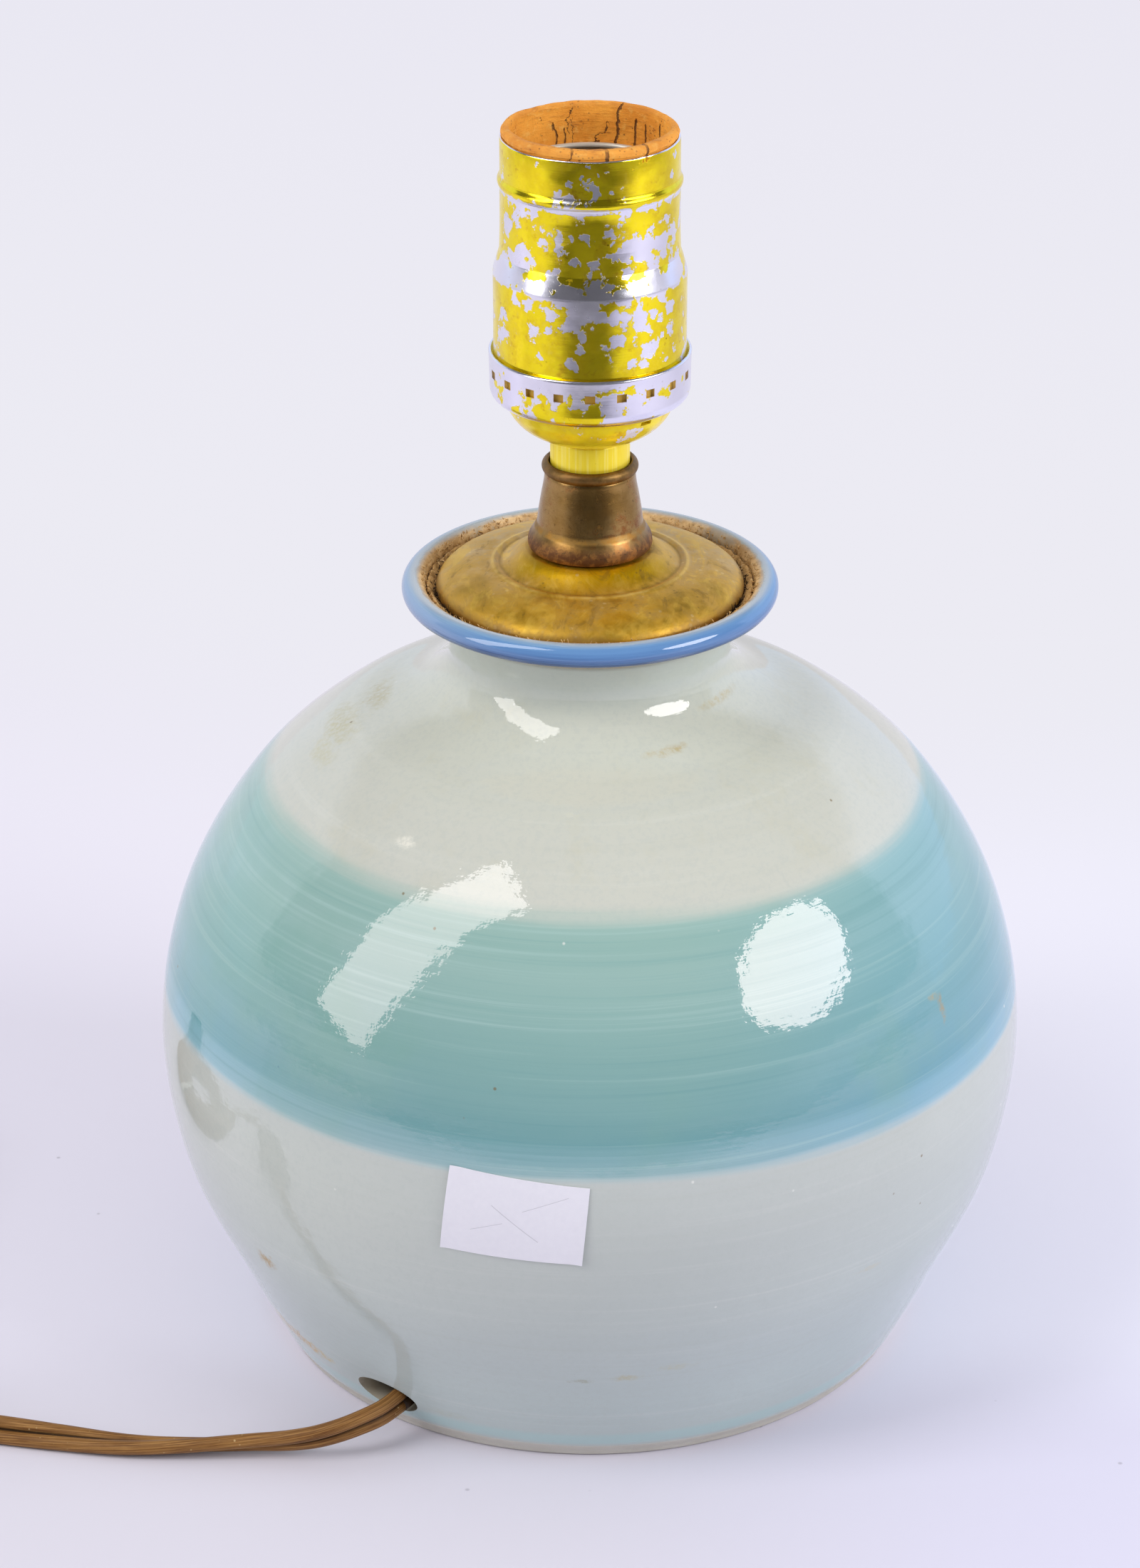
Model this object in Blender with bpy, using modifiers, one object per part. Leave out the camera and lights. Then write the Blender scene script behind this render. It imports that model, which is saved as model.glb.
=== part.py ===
# Studio pottery table lamp: a wheel-thrown pot with a keyless lamp socket on a threaded pipe,
# a flat two-wire cord with a thumb-wheel switch, and a plug. Metres, +Z up, origin on the
# table under the lamp's axis. The front of the lamp faces -Y.
import math

import bmesh
import bpy
from mathutils import Matrix, Vector
from mathutils.geometry import intersect_point_line

MM = 0.001

# Clearances shared by all pieces
GAP = 0.3 * MM
OVERRUN = 2.0 * MM
MERGE = 0.01 * MM

# Pot
POT_WALL = 5.5 * MM
FOOT_RADIUS = 58.5 * MM
FOOT_EDGE = 0.9 * MM
FOOT_RING_WIDTH = 6.5 * MM
FOOT_RECESS = 23.0 * MM
FOOT_DRAFT = 5.0 * MM
POT_FLOOR = 6.0 * MM
BELLY_HEIGHT = 61.2 * MM
BELLY_SWELL = 19.8 * MM
SHOULDER_RISE = 61.2 * MM
NECK_RADIUS = 24.9 * MM
SHOULDER_STEP = 10.7 * MM
SHOULDER_SLOPE_SHARE = 0.42
NECK_WAIST_RISE = 10.5 * MM
NECK_RISE = 19.5 * MM
LIP_OVERHANG = 8.3 * MM
LIP_ROUND = 2.1 * MM
FLARE_SLOPE_SHARE = 1.25
ROUNDING_SHARE = 0.6
LOWER_BELLY_SHARES = ((0.08, 0.12), (0.29, 0.425), (0.62, 0.855))
UPPER_BELLY_SHARES = ((0.38, 0.885), (0.71, 0.61), (0.92, 0.275))

# Hole for the cord, through the foot ring; angles from the front, towards +X
CORD_HOLE_WIDTH = 13.0 * MM
CORD_HOLE_HEIGHT = 7.2 * MM
CORD_HOLE_LEVEL = 7.9 * MM
CORD_HOLE_ANGLE = math.radians(-35.7)
CORD_EXIT_ANGLE = math.radians(-33.0)

# Lamp pipe and the fasteners under the pot
PIPE_RADIUS = 4.9 * MM
PIPE_BORE_RADIUS = 3.3 * MM
PIPE_TAIL = 1.5 * MM
PIPE_IN_COLLAR = 4.9 * MM
PIPE_HOLE_PLAY = 0.7 * MM
RUBBER_WASHER_RADIUS = 16.0 * MM
RUBBER_WASHER_THICKNESS = 2.0 * MM
STEEL_WASHER_RADIUS = 19.0 * MM
STEEL_WASHER_THICKNESS = 1.6 * MM
NUT_ACROSS_CORNERS = 18.4 * MM
NUT_HEIGHT = 4.5 * MM

# Vase cap on its gasket
CAP_MARGIN = 6.0 * MM
CAP_SHEET = 0.9 * MM
CAP_HEIGHT = 7.6 * MM
CAP_CROWN = 4.85 * MM
CAP_RIDGE_RADIUS = 16.7 * MM
CAP_RIDGE_WIDTH = 1.8 * MM
CAP_RIDGE_HEIGHT = 0.4 * MM
CAP_HUB_RADIUS = 11.4 * MM
CAP_HUB_SHARES = ((0.25, 0.24), (0.6, 0.68), (1.0, 1.0))
CAP_RIM_SHARES = ((0.4, 0.0), (0.68, 0.13), (0.88, 0.38), (0.98, 0.7), (1.0, 1.0))
GASKET_THICKNESS = 1.4 * MM
GASKET_OVERLAP = 3.5 * MM

# Tapered brass neck
BRASS_NECK_HEIGHT = 16.1 * MM
BRASS_NECK_FOOT_RADIUS = 10.9 * MM
BRASS_NECK_FOOT_HEIGHT = 4.6 * MM
BRASS_NECK_CONE_RADIUS = 9.3 * MM
BRASS_NECK_WAIST_RADIUS = 7.95 * MM
BRASS_NECK_BEAD_RADIUS = 8.45 * MM
BRASS_NECK_BEAD_HEIGHT = 2.4 * MM
BRASS_NECK_CUP_DEPTH = 1.7 * MM
BRASS_NECK_CONE_SHARES = ((0.0, 0.0), (0.6, 0.5), (1.0, 1.0))
BRASS_NECK_FOOT_SHARES = ((0.45, 0.25), (0.88, 0.5), (1.0, 0.75), (0.8, 1.0))

# Collar of the socket
COLLAR_RADIUS = 6.95 * MM
COLLAR_HEIGHT = 5.75 * MM
COLLAR_SPIGOT_RADIUS = 5.9 * MM
COLLAR_FLANGE_RADIUS = 7.4 * MM
COLLAR_FLANGE_THICKNESS = 0.7 * MM
COLLAR_MOUTH_RADIUS = 4.2 * MM
SET_SCREW_RADIUS = 1.3 * MM
SET_SCREW_STANDOFF = 0.6 * MM

# Socket cap, shell and liner
SOCKET_SHEET = 0.45 * MM
CAP_RING_HEIGHT = 6.4 * MM
CAP_RING_TURN = 3.5 * MM
CAP_RING_INSET = 2.5 * MM
CAP_DOME_STEP = 0.4 * MM
CAP_DOME_HEIGHT = 5.6 * MM
CAP_DOME_FOOT_RADIUS = 7.3 * MM
CAP_TURN_SHARES = ((0.0, 0.0), (0.16, 0.46), (0.5, 0.82), (1.0, 1.0))
CAP_DOME_SHARES = ((0.04, 0.0), (0.2, 0.38), (0.47, 0.72), (0.76, 0.92), (1.0, 1.0))
WINDOW_COUNT = 20
WINDOW_WIDTH = 1.6 * MM
WINDOW_HEIGHT = 1.2 * MM
WINDOW_DROP = 3.5 * MM
SHELL_SEAT = 0.7 * MM
SHELL_LENGTH = 43.9 * MM
SHELL_RADIUS = 16.65 * MM
SHELL_MOUTH_STEP = 1.3 * MM
SHELL_SHOULDER_DROP = 19.8 * MM
SHELL_SHOULDER_HEIGHT = 4.8 * MM
SHELL_BEAD_DROP = 7.8 * MM
SHELL_BEAD_WIDTH = 2.4 * MM
SHELL_BEAD_HEIGHT = 0.45 * MM
SHELL_BEAD_SHARES = ((0.0, 1.0), (0.7, 0.5), (1.0, 0.0), (0.7, -0.5), (0.0, -1.0))
SHELL_SHOULDER_SHARES = ((0.0, 0.0), (0.15, 0.2), (0.8, 0.7), (1.0, 1.0))
LINER_WALL = 0.7 * MM
LINER_STANDOUT = 1.0 * MM
LINER_FLARE = 0.42 * MM
LINER_FLARE_HEIGHT = 1.5 * MM
LINER_FLARE_SHARES = ((0.0, 0.0), (0.4, 0.4), (1.0, 1.0))
LINER_LIFT = 1.8 * MM

# Inside of the socket
SOCKET_BODY_PLAY = 0.5 * MM
SOCKET_BODY_HEIGHT = 19.6 * MM
SOCKET_BODY_LIFT = 0.9 * MM
SOCKET_BODY_WALL = 3.7 * MM
SOCKET_BODY_CAVITY = 9.6 * MM
TERMINAL_LEVEL = 6.1 * MM
TERMINAL_NOTCH_WIDTH = 7.0 * MM
TERMINAL_NOTCH_HEIGHT = 7.4 * MM
TERMINAL_NOTCH_DEPTH = 1.8 * MM
TERMINAL_HEAD_RADIUS = 2.6 * MM
TERMINAL_HEAD_THICKNESS = 1.2 * MM
TERMINAL_SHANK_RADIUS = 1.3 * MM
TERMINAL_SHANK_LENGTH = 2.6 * MM
THREAD_PITCH = 3.63 * MM
THREAD_TURNS = 5
THREAD_DEPTH = 0.6 * MM
THREAD_SHEET = 0.35 * MM
THREAD_LIP = 1.6 * MM
THREAD_FLOOR_RADIUS = 8.4 * MM
TONGUE_LENGTH = 10.6 * MM
TONGUE_REACH = 7.0 * MM
TONGUE_WIDTH = 5.0 * MM
TONGUE_RISE = 2.6 * MM
TONGUE_TIP_DROP = 0.9 * MM
TONGUE_SHEET = 0.5 * MM
LEAD_RADIUS = 1.15 * MM
LEAD_SPACING = 3.4 * MM
LEAD_SHARES = ((0.0, 0.0), (0.0, 0.4), (0.45, 0.85))

# Flat two-wire cord: its diameter here is its width
CORD_DIAMETER = 5.2 * MM
CORD_STEP_SHARE = 2.0
TABLE_GAP = 0.05 * MM
# How far out to the foot, and how far up to the pipe, the cord under the pot lies
UNDER_POT_SHARES = ((0.0, 0.9), (0.015, 0.5), (0.06, 0.14), (0.15, 0.0), (0.3, 0.0))
UNDER_POT_RISE_SHARES = (0.62, 0.55)
PIPE_ENTRY_SHARES = (2.5, 1.5)

# Thumb-wheel switch on the cord
SWITCH_LENGTH = 56.0 * MM
SWITCH_WIDTH = 22.0 * MM
SWITCH_END_WIDTH = 10.5 * MM
SWITCH_HEIGHT = 12.6 * MM
SWITCH_EDGE = 1.2 * MM
SWITCH_STRAIGHT_SHARE = 0.55
SWITCH_CORNER_SHARES = ((0.0, 0.0), (0.5, 0.66), (1.0, 1.0))
SWITCH_DISTANCE = 95.0 * MM
WHEEL_RADIUS = 10.2 * MM
WHEEL_THICKNESS = 4.0 * MM
WHEEL_STANDOUT = 1.5 * MM
WHEEL_RIB_DEPTH = 0.5 * MM
WHEEL_RIBS = 24
WHEEL_AXLE_RADIUS = 1.6 * MM
WHEEL_AXLE_STUB = 1.4 * MM
WHEEL_PLAY = 0.4 * MM
SWITCH_SCREW_OFFSET = 18.5 * MM
SWITCH_SCREW_RADIUS = 1.3 * MM
SWITCH_SCREW_HEAD_RADIUS = 2.4 * MM
SWITCH_SCREW_HEAD_HEIGHT = 1.4 * MM
SWITCH_SCREW_FLOOR = 2.0 * MM

# Coil of the cord that is put away, with its tie
COIL_TURNS = 8.5
COIL_POINTS_PER_TURN = 24
COIL_STEP = 5.8 * MM
COIL_CORE_RADIUS = 16.5 * MM
COIL_TANGENT_TURN = 0.01
FEED_BEND_RADIUS = 22.0 * MM
FEED_BEND_POINTS = 8
SWITCH_LEAD_OUT = 6.0 * MM
COIL_LEAD_IN = 18.0 * MM
TIE_THICKNESS = 0.6 * MM
TIE_WIDTH = 4.0 * MM
TIE_PLAY = 0.3 * MM
TIE_CORNER = 3.0 * MM
TIE_ANGLE = math.radians(15.0)

# Plug
PLUG_LENGTH = 31.0 * MM
PLUG_WIDTH = 25.0 * MM
PLUG_NECK_WIDTH = 9.5 * MM
PLUG_HEIGHT = 13.6 * MM
PLUG_EDGE = 1.6 * MM
PLUG_TAIL = 24.0 * MM
PLUG_TAPER_SHARE = 0.6
PLUG_TAPER_SHARES = ((0.0, 0.0), (0.33, 0.12), (0.7, 0.62), (1.0, 1.0))
BLADE_SPACING = 12.7 * MM
BLADE_LENGTH = 17.0 * MM
BLADE_HEIGHT = 6.35 * MM
BLADE_THICKNESS = 1.5 * MM
BLADE_ROOT = 4.0 * MM
BLADE_HOLE_RADIUS = 1.6 * MM
BLADE_HOLE_INSET = 4.0 * MM

# How finely round pieces are divided
POT_SIDES = 48
BRASS_SIDES = 32
SOCKET_SIDES = 36
SMALL_SIDES = 20
THREAD_SIDES = 24

# Places that follow from the sizes above
BELLY_RADIUS = FOOT_RADIUS + BELLY_SWELL
SHOULDER_LEVEL = BELLY_HEIGHT + SHOULDER_RISE
SHOULDER_RADIUS = NECK_RADIUS + SHOULDER_STEP
LIP_UNDERSIDE = SHOULDER_LEVEL + NECK_RISE
LIP_CENTRE_RADIUS = NECK_RADIUS + LIP_OVERHANG - LIP_ROUND
LIP_CENTRE_LEVEL = LIP_UNDERSIDE + LIP_ROUND
LIP_INNER_RADIUS = LIP_CENTRE_RADIUS - LIP_ROUND
THROAT_RADIUS = NECK_RADIUS - POT_WALL
POT_INSIDE_FLOOR = FOOT_RECESS + POT_FLOOR
BORE_RADIUS = PIPE_RADIUS + GAP
CAP_RADIUS = NECK_RADIUS + LIP_OVERHANG - CAP_MARGIN


def flare_level(radius):
    return LIP_CENTRE_LEVEL - (LIP_INNER_RADIUS - radius) * FLARE_SLOPE_SHARE


GASKET_BOTTOM_AT_CAP = flare_level(CAP_RADIUS) + GAP
CAP_EDGE_LEVEL = GASKET_BOTTOM_AT_CAP + GASKET_THICKNESS + GAP
CAP_TOP = CAP_EDGE_LEVEL + CAP_HEIGHT
BRASS_NECK_BOTTOM = CAP_TOP + GAP
BRASS_NECK_TOP = BRASS_NECK_BOTTOM + BRASS_NECK_HEIGHT
BRASS_NECK_LEDGE = BRASS_NECK_TOP - BRASS_NECK_CUP_DEPTH
COLLAR_BOTTOM = BRASS_NECK_LEDGE + GAP
COLLAR_SHOULDER = COLLAR_BOTTOM + COLLAR_HEIGHT
DOME_BOTTOM = COLLAR_SHOULDER + GAP
DOME_TOP = DOME_BOTTOM + CAP_DOME_HEIGHT
RING_RADIUS = SHELL_RADIUS + GAP + SOCKET_SHEET
DOME_RADIUS = RING_RADIUS - CAP_RING_INSET
RING_FLOOR = DOME_TOP + CAP_DOME_STEP + CAP_RING_TURN
RING_TOP = RING_FLOOR + CAP_RING_HEIGHT
SHELL_BOTTOM = RING_FLOOR + SHELL_SEAT
SHELL_TOP = SHELL_BOTTOM + SHELL_LENGTH
SHELL_MOUTH_RADIUS = SHELL_RADIUS - SHELL_MOUTH_STEP
LINER_RADIUS = SHELL_MOUTH_RADIUS - SOCKET_SHEET - GAP
LINER_LOWER_RADIUS = SHELL_RADIUS - SOCKET_SHEET - GAP
LINER_TOP = SHELL_TOP + LINER_STANDOUT
SOCKET_BODY_RADIUS = LINER_LOWER_RADIUS - LINER_WALL - SOCKET_BODY_PLAY
SOCKET_BODY_BOTTOM = DOME_TOP + CAP_DOME_STEP + SOCKET_BODY_LIFT
SOCKET_BODY_TOP = SOCKET_BODY_BOTTOM + SOCKET_BODY_HEIGHT
SCREW_SHELL_RADIUS = LINER_RADIUS - LINER_WALL - GAP
PIPE_TOP = COLLAR_BOTTOM + PIPE_IN_COLLAR
RUBBER_WASHER_TOP = FOOT_RECESS - GAP
STEEL_WASHER_TOP = RUBBER_WASHER_TOP - RUBBER_WASHER_THICKNESS - GAP
NUT_TOP = STEEL_WASHER_TOP - STEEL_WASHER_THICKNESS - GAP
PIPE_BOTTOM = NUT_TOP - NUT_HEIGHT - PIPE_TAIL
CORD_RADIUS = CORD_DIAMETER / 2
CORD_POINT_STEP = CORD_DIAMETER * CORD_STEP_SHARE
CORD_LEVEL = CORD_RADIUS + TABLE_GAP
SWITCH_MIDDLE = TABLE_GAP + SWITCH_HEIGHT / 2
PLUG_MIDDLE = TABLE_GAP + PLUG_HEIGHT / 2
COIL_LEVEL = TABLE_GAP + TIE_THICKNESS + TIE_PLAY + CORD_RADIUS
COIL_OUTER_RADIUS = COIL_CORE_RADIUS + COIL_STEP * COIL_TURNS / 2

# The cord's route from the pot to the switch. Each place is how far it lies from the cord's
# exit along X and Y, in metres, and its share of the way up from the table to the exit.
ROUTE_TO_SWITCH = (
    (0.0, 0.0, 1.0),
    (-0.0030, -0.0040, 0.95),
    (-0.0064, -0.0062, 0.81),
    (-0.0103, -0.0078, 0.62),
    (-0.0149, -0.0084, 0.39),
    (-0.0203, -0.0080, 0.18),
    (-0.0259, -0.0074, 0.05),
    (-0.0371, -0.0073, 0.0),
    (-0.0484, -0.0068, 0.0),
    (-0.0601, -0.0049, 0.0),
    (-0.0715, -0.0028, 0.03),
    (-0.0800, -0.0010, 0.25),
)


# Collections and materials
def collection(name):
    made = bpy.data.collections.new(name)
    bpy.context.scene.collection.children.link(made)
    return made


def material(name, color, roughness, metallic=0.0):
    made = bpy.data.materials.new(name)
    made.use_nodes = True
    shader = made.node_tree.nodes["Principled BSDF"]
    shader.inputs["Base Color"].default_value = (*color, 1.0)
    shader.inputs["Roughness"].default_value = roughness
    shader.inputs["Metallic"].default_value = metallic
    return made


for old in list(bpy.data.objects):
    bpy.data.objects.remove(old)
PARTS = collection("studio_pottery_lamp")
CUTTERS = collection("cutters")

GLAZE = material("glaze", (0.62, 0.72, 0.70), 0.15)
BRASS = material("aged_brass", (0.45, 0.32, 0.11), 0.40, 1.0)
BRONZE = material("dark_bronze", (0.20, 0.12, 0.05), 0.35, 1.0)
GILT = material("gilt_aluminium", (0.80, 0.70, 0.08), 0.25, 1.0)
STEEL = material("zinc_steel", (0.55, 0.55, 0.57), 0.35, 1.0)
ALUMINIUM = material("aluminium", (0.70, 0.70, 0.72), 0.35, 1.0)
FELT = material("dusty_gasket", (0.30, 0.22, 0.12), 0.95)
RUBBER = material("black_rubber", (0.03, 0.03, 0.03), 0.80)
CARDBOARD = material("fibre_liner", (0.50, 0.24, 0.07), 0.85)
BAKELITE = material("black_phenolic", (0.02, 0.02, 0.02), 0.35)
CORD_BROWN = material("brown_cord", (0.16, 0.08, 0.04), 0.55)
PLASTIC_BROWN = material("brown_plastic", (0.12, 0.06, 0.03), 0.40)
TIE_WHITE = material("tie_plastic", (0.75, 0.73, 0.68), 0.60)


# Modelling helpers
def add_object(name, data, finish, home=None):
    made = bpy.data.objects.new(name, data)
    (home or PARTS).objects.link(made)
    data.materials.append(finish)
    return made


def as_cutter(made):
    made.hide_render = True
    made.display_type = "WIRE"
    return made


def profile_mesh(name, outline, closed):
    shape = bmesh.new()
    corners = [shape.verts.new((radius, 0.0, level)) for radius, level in outline]
    pairs = list(zip(corners, corners[1:]))
    if closed:
        pairs.append((corners[-1], corners[0]))
    for pair in pairs:
        shape.edges.new(pair)
    mesh = bpy.data.meshes.new(name)
    shape.to_mesh(mesh)
    shape.free()
    return mesh


def turned(name, outline, finish, sides, closed=True, home=None):
    """A profile at +X, listed down its outer side, turned about the lamp's axis."""
    made = add_object(name, profile_mesh(name, outline, closed), finish, home)
    turn = made.modifiers.new("turn", "SCREW")
    turn.axis = "Z"
    turn.steps = sides
    turn.render_steps = sides
    turn.use_merge_vertices = True
    turn.merge_threshold = MERGE
    return made


def spun_sheet(name, outline, thickness, finish, sides):
    """Sheet metal or board spun to the outline of its outer face."""
    made = turned(name, outline, finish, sides, closed=False)
    wall = made.modifiers.new("wall", "SOLIDIFY")
    wall.thickness = thickness
    wall.offset = -1.0
    wall.use_even_offset = True
    return made


def washer(name, outer, inner, top, thickness, finish, sides):
    bottom = top - thickness
    outline = [(outer, top), (outer, bottom), (inner, bottom), (inner, top)]
    return turned(name, outline, finish, sides)


def between(start, end, shares):
    """Points from start to end, each a share of the way across and of the way along."""
    width, height = end[0] - start[0], end[1] - start[1]
    return [(start[0] + width * across, start[1] + height * along) for across, along in shares]


def through(points, pieces):
    """A smooth curve through the points, each span cut into that many pieces."""
    points = [Vector(point) for point in points]
    ends = [2 * points[0] - points[1], *points, 2 * points[-1] - points[-2]]
    path = []
    for before, start, end, after in zip(ends, ends[1:], ends[2:], ends[3:]):
        for step in range(pieces):
            t = step / pieces
            path.append(
                start
                + (end - before) * (t / 2)
                + (2 * before - 5 * start + 4 * end - after) * (t * t / 2)
                + (3 * start - before - 3 * end + after) * (t * t * t / 2)
            )
    return path + [points[-1]]


def cord_path(points, spacing):
    """A smooth curve with straight ends: its first and last spans stay as they are given."""
    fine = through(points, 12)[12:-12]
    reach = [0.0]
    for one, two in zip(fine, fine[1:]):
        reach.append(reach[-1] + (two - one).length)
    count = max(2, round(reach[-1] / spacing))
    path = [Vector(points[0]), fine[0]]
    span = 0
    for step in range(1, count):
        wanted = reach[-1] * step / count
        while reach[span + 1] < wanted:
            span += 1
        share = (wanted - reach[span]) / (reach[span + 1] - reach[span])
        path.append(fine[span].lerp(fine[span + 1], share))
    return path + [fine[-1], Vector(points[-1])]


def rounded_corner(start, corner, end, pieces):
    """Points of a soft bend from start to end that heads for the corner, without its ends."""
    start, corner, end = Vector(start), Vector(corner), Vector(end)
    near = start.lerp(corner, ROUNDING_SHARE)
    far = end.lerp(corner, ROUNDING_SHARE)
    bend = []
    for step in range(1, pieces):
        t = step / pieces
        one, two, three = start.lerp(near, t), near.lerp(far, t), far.lerp(end, t)
        bend.append(one.lerp(two, t).lerp(two.lerp(three, t), t))
    return bend


def rounded_box(low, high, radius):
    """The outline of a box with round corners, from its low to its high corner."""
    left, right = low[0] + radius, high[0] - radius
    bottom, top = low[1] + radius, high[1] - radius
    corners = ((left, bottom, 180), (right, bottom, 270), (right, top, 0), (left, top, 90))
    outline = []
    for x, y, start in corners:
        outline += arc((x, y), radius, start, start + 90, 3)
    return outline


def arc(centre, radius, first, last, pieces):
    """Points on an arc, with both ends; angles in degrees from +X."""
    steps = [first + (last - first) * step / pieces for step in range(pieces + 1)]
    turns = [math.radians(step) for step in steps]
    return [(centre[0] + radius * math.cos(a), centre[1] + radius * math.sin(a)) for a in turns]


def tube(name, path, radius, finish, resolution=2, home=None):
    curve = bpy.data.curves.new(name, "CURVE")
    curve.dimensions = "3D"
    curve.bevel_depth = radius
    curve.bevel_resolution = resolution
    curve.use_fill_caps = True
    line = curve.splines.new("POLY")
    line.points.add(len(path) - 1)
    for point, place in zip(line.points, path):
        point.co = (*place, 1.0)
    return add_object(name, curve, finish, home)


def plate(name, outlines, bottom, top, finish, home=None):
    """Flat outlines, in X and Y, made as thick as the space from bottom to top."""
    curve = bpy.data.curves.new(name, "CURVE")
    curve.dimensions = "2D"
    curve.fill_mode = "BOTH"
    curve.extrude = (top - bottom) / 2
    for outline in outlines:
        line = curve.splines.new("POLY")
        line.use_cyclic_u = True
        line.points.add(len(outline) - 1)
        for point, place in zip(line.points, outline):
            point.co = (*place, 0.0, 1.0)
    made = add_object(name, curve, finish, home)
    made.location.z = (top + bottom) / 2
    return made


def as_mesh(made):
    """The same piece as a closed mesh, so that it can be cut or rounded."""
    bpy.context.view_layer.update()
    evaluated = made.evaluated_get(bpy.context.evaluated_depsgraph_get())
    mesh = bpy.data.meshes.new_from_object(evaluated)
    shape = bmesh.new()
    shape.from_mesh(mesh)
    bmesh.ops.remove_doubles(shape, verts=shape.verts, dist=MERGE)
    bmesh.ops.recalc_face_normals(shape, faces=shape.faces)
    shape.to_mesh(mesh)
    shape.free()
    name, place, home = made.name, made.matrix_world.copy(), made.users_collection[0]
    bpy.data.objects.remove(made)
    solid = bpy.data.objects.new(name, mesh)
    solid.matrix_world = place
    home.objects.link(solid)
    return solid


def rod(name, start, end, radius, finish, sides, home=None):
    """A round rod between two points."""
    start, end = Vector(start), Vector(end)
    shape = bmesh.new()
    bmesh.ops.create_cone(
        shape,
        cap_ends=True,
        segments=sides,
        radius1=radius,
        radius2=radius,
        depth=(end - start).length,
    )
    facing = (end - start).to_track_quat("Z", "X").to_matrix().to_4x4()
    mesh = bpy.data.meshes.new(name)
    shape.transform(Matrix.Translation((start + end) / 2) @ facing)
    shape.to_mesh(mesh)
    shape.free()
    return add_object(name, mesh, finish, home)


def block(name, low, high, finish, home=None):
    """A box between two corners."""
    low, high = Vector(low), Vector(high)
    shape = bmesh.new()
    bmesh.ops.create_cube(shape, size=1.0)
    size = Matrix.Diagonal((*(high - low), 1.0))
    shape.transform(Matrix.Translation((low + high) / 2) @ size)
    mesh = bpy.data.meshes.new(name)
    shape.to_mesh(mesh)
    shape.free()
    return add_object(name, mesh, finish, home)


def change(made, cutter, operation="DIFFERENCE"):
    step = made.modifiers.new(cutter.name, "BOOLEAN")
    step.operation = operation
    step.object = as_cutter(cutter)
    return made


def soften(made, width, angle):
    edge = made.modifiers.new("soft_edges", "BEVEL")
    edge.width = width
    edge.segments = 2
    edge.limit_method = "ANGLE"
    edge.angle_limit = angle
    return made


def around(radius, angle, level):
    """The place at a radius and an angle from the front, towards +X."""
    return Vector((radius * math.sin(angle), -radius * math.cos(angle), level))


# Pot
def belly_line():
    """The pot's outer line from the foot to the shoulder."""
    line = [(FOOT_RADIUS, FOOT_EDGE)]
    for rise, swell in LOWER_BELLY_SHARES:
        line.append((FOOT_RADIUS + BELLY_SWELL * swell, BELLY_HEIGHT * rise))
    line.append((BELLY_RADIUS, BELLY_HEIGHT))
    for rise, swell in UPPER_BELLY_SHARES:
        radius = SHOULDER_RADIUS + (BELLY_RADIUS - SHOULDER_RADIUS) * swell
        line.append((radius, BELLY_HEIGHT + SHOULDER_RISE * rise))
    line.append((SHOULDER_RADIUS, SHOULDER_LEVEL))
    return line


def pot_radius(level):
    """The radius of the pot's outer face at a level of its belly."""
    line = through(belly_line(), 8)
    for low, high in zip(line, line[1:]):
        if low.y <= level <= high.y:
            return low.lerp(high, (level - low.y) / (high.y - low.y)).x
    return FOOT_RADIUS


def inset(line, distance):
    """The line moved to its inner side; the line runs upwards."""
    moved = []
    for before, point, after in zip([line[0], *line], line, [*line[1:], line[-1]]):
        along = (after - before).normalized()
        moved.append(point + Vector((-along.y, along.x)) * distance)
    return moved


def make_pot():
    belly = through(belly_line(), 2)
    waist = (NECK_RADIUS, SHOULDER_LEVEL + NECK_WAIST_RISE)
    fillet_corner = (NECK_RADIUS, SHOULDER_LEVEL + SHOULDER_STEP * SHOULDER_SLOPE_SHARE)
    lip_centre = (LIP_CENTRE_RADIUS, LIP_CENTRE_LEVEL)
    throat_top = (THROAT_RADIUS, flare_level(THROAT_RADIUS))
    inside = [p for p in inset(through(belly_line(), 1), POT_WALL) if p.y > POT_INSIDE_FLOOR]
    floor_edge = (pot_radius(POT_INSIDE_FLOOR) - POT_WALL, POT_INSIDE_FLOOR)
    hole = PIPE_RADIUS + PIPE_HOLE_PLAY
    recess = FOOT_RADIUS - FOOT_RING_WIDTH
    outline = arc(lip_centre, LIP_ROUND, 180, -90, 8)
    outline += rounded_corner(outline[-1], (NECK_RADIUS, LIP_UNDERSIDE), waist, 3)
    outline += [waist]
    outline += rounded_corner(waist, fillet_corner, belly[-1], 4)
    outline += reversed(belly)
    outline += [(FOOT_RADIUS - FOOT_EDGE, 0.0), (recess, 0.0)]
    outline += [(recess + FOOT_DRAFT, FOOT_RECESS), (hole, FOOT_RECESS)]
    outline += [(hole, POT_INSIDE_FLOOR), floor_edge]
    outline += inside
    outline += [(THROAT_RADIUS, fillet_corner[1] - POT_WALL), throat_top]
    pot = turned("pot_body", outline, GLAZE, POT_SIDES)
    cutter = rod(
        "cord_hole",
        around(recess - OVERRUN, CORD_HOLE_ANGLE, 0.0),
        around(BELLY_RADIUS, CORD_HOLE_ANGLE, 0.0),
        CORD_HOLE_WIDTH / 2,
        GLAZE,
        SMALL_SIDES,
        CUTTERS,
    )
    flatten = Matrix.Diagonal((1.0, 1.0, CORD_HOLE_HEIGHT / CORD_HOLE_WIDTH, 1.0))
    cutter.data.transform(flatten)
    cutter.location.z = CORD_HOLE_LEVEL
    return change(pot, cutter)


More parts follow.
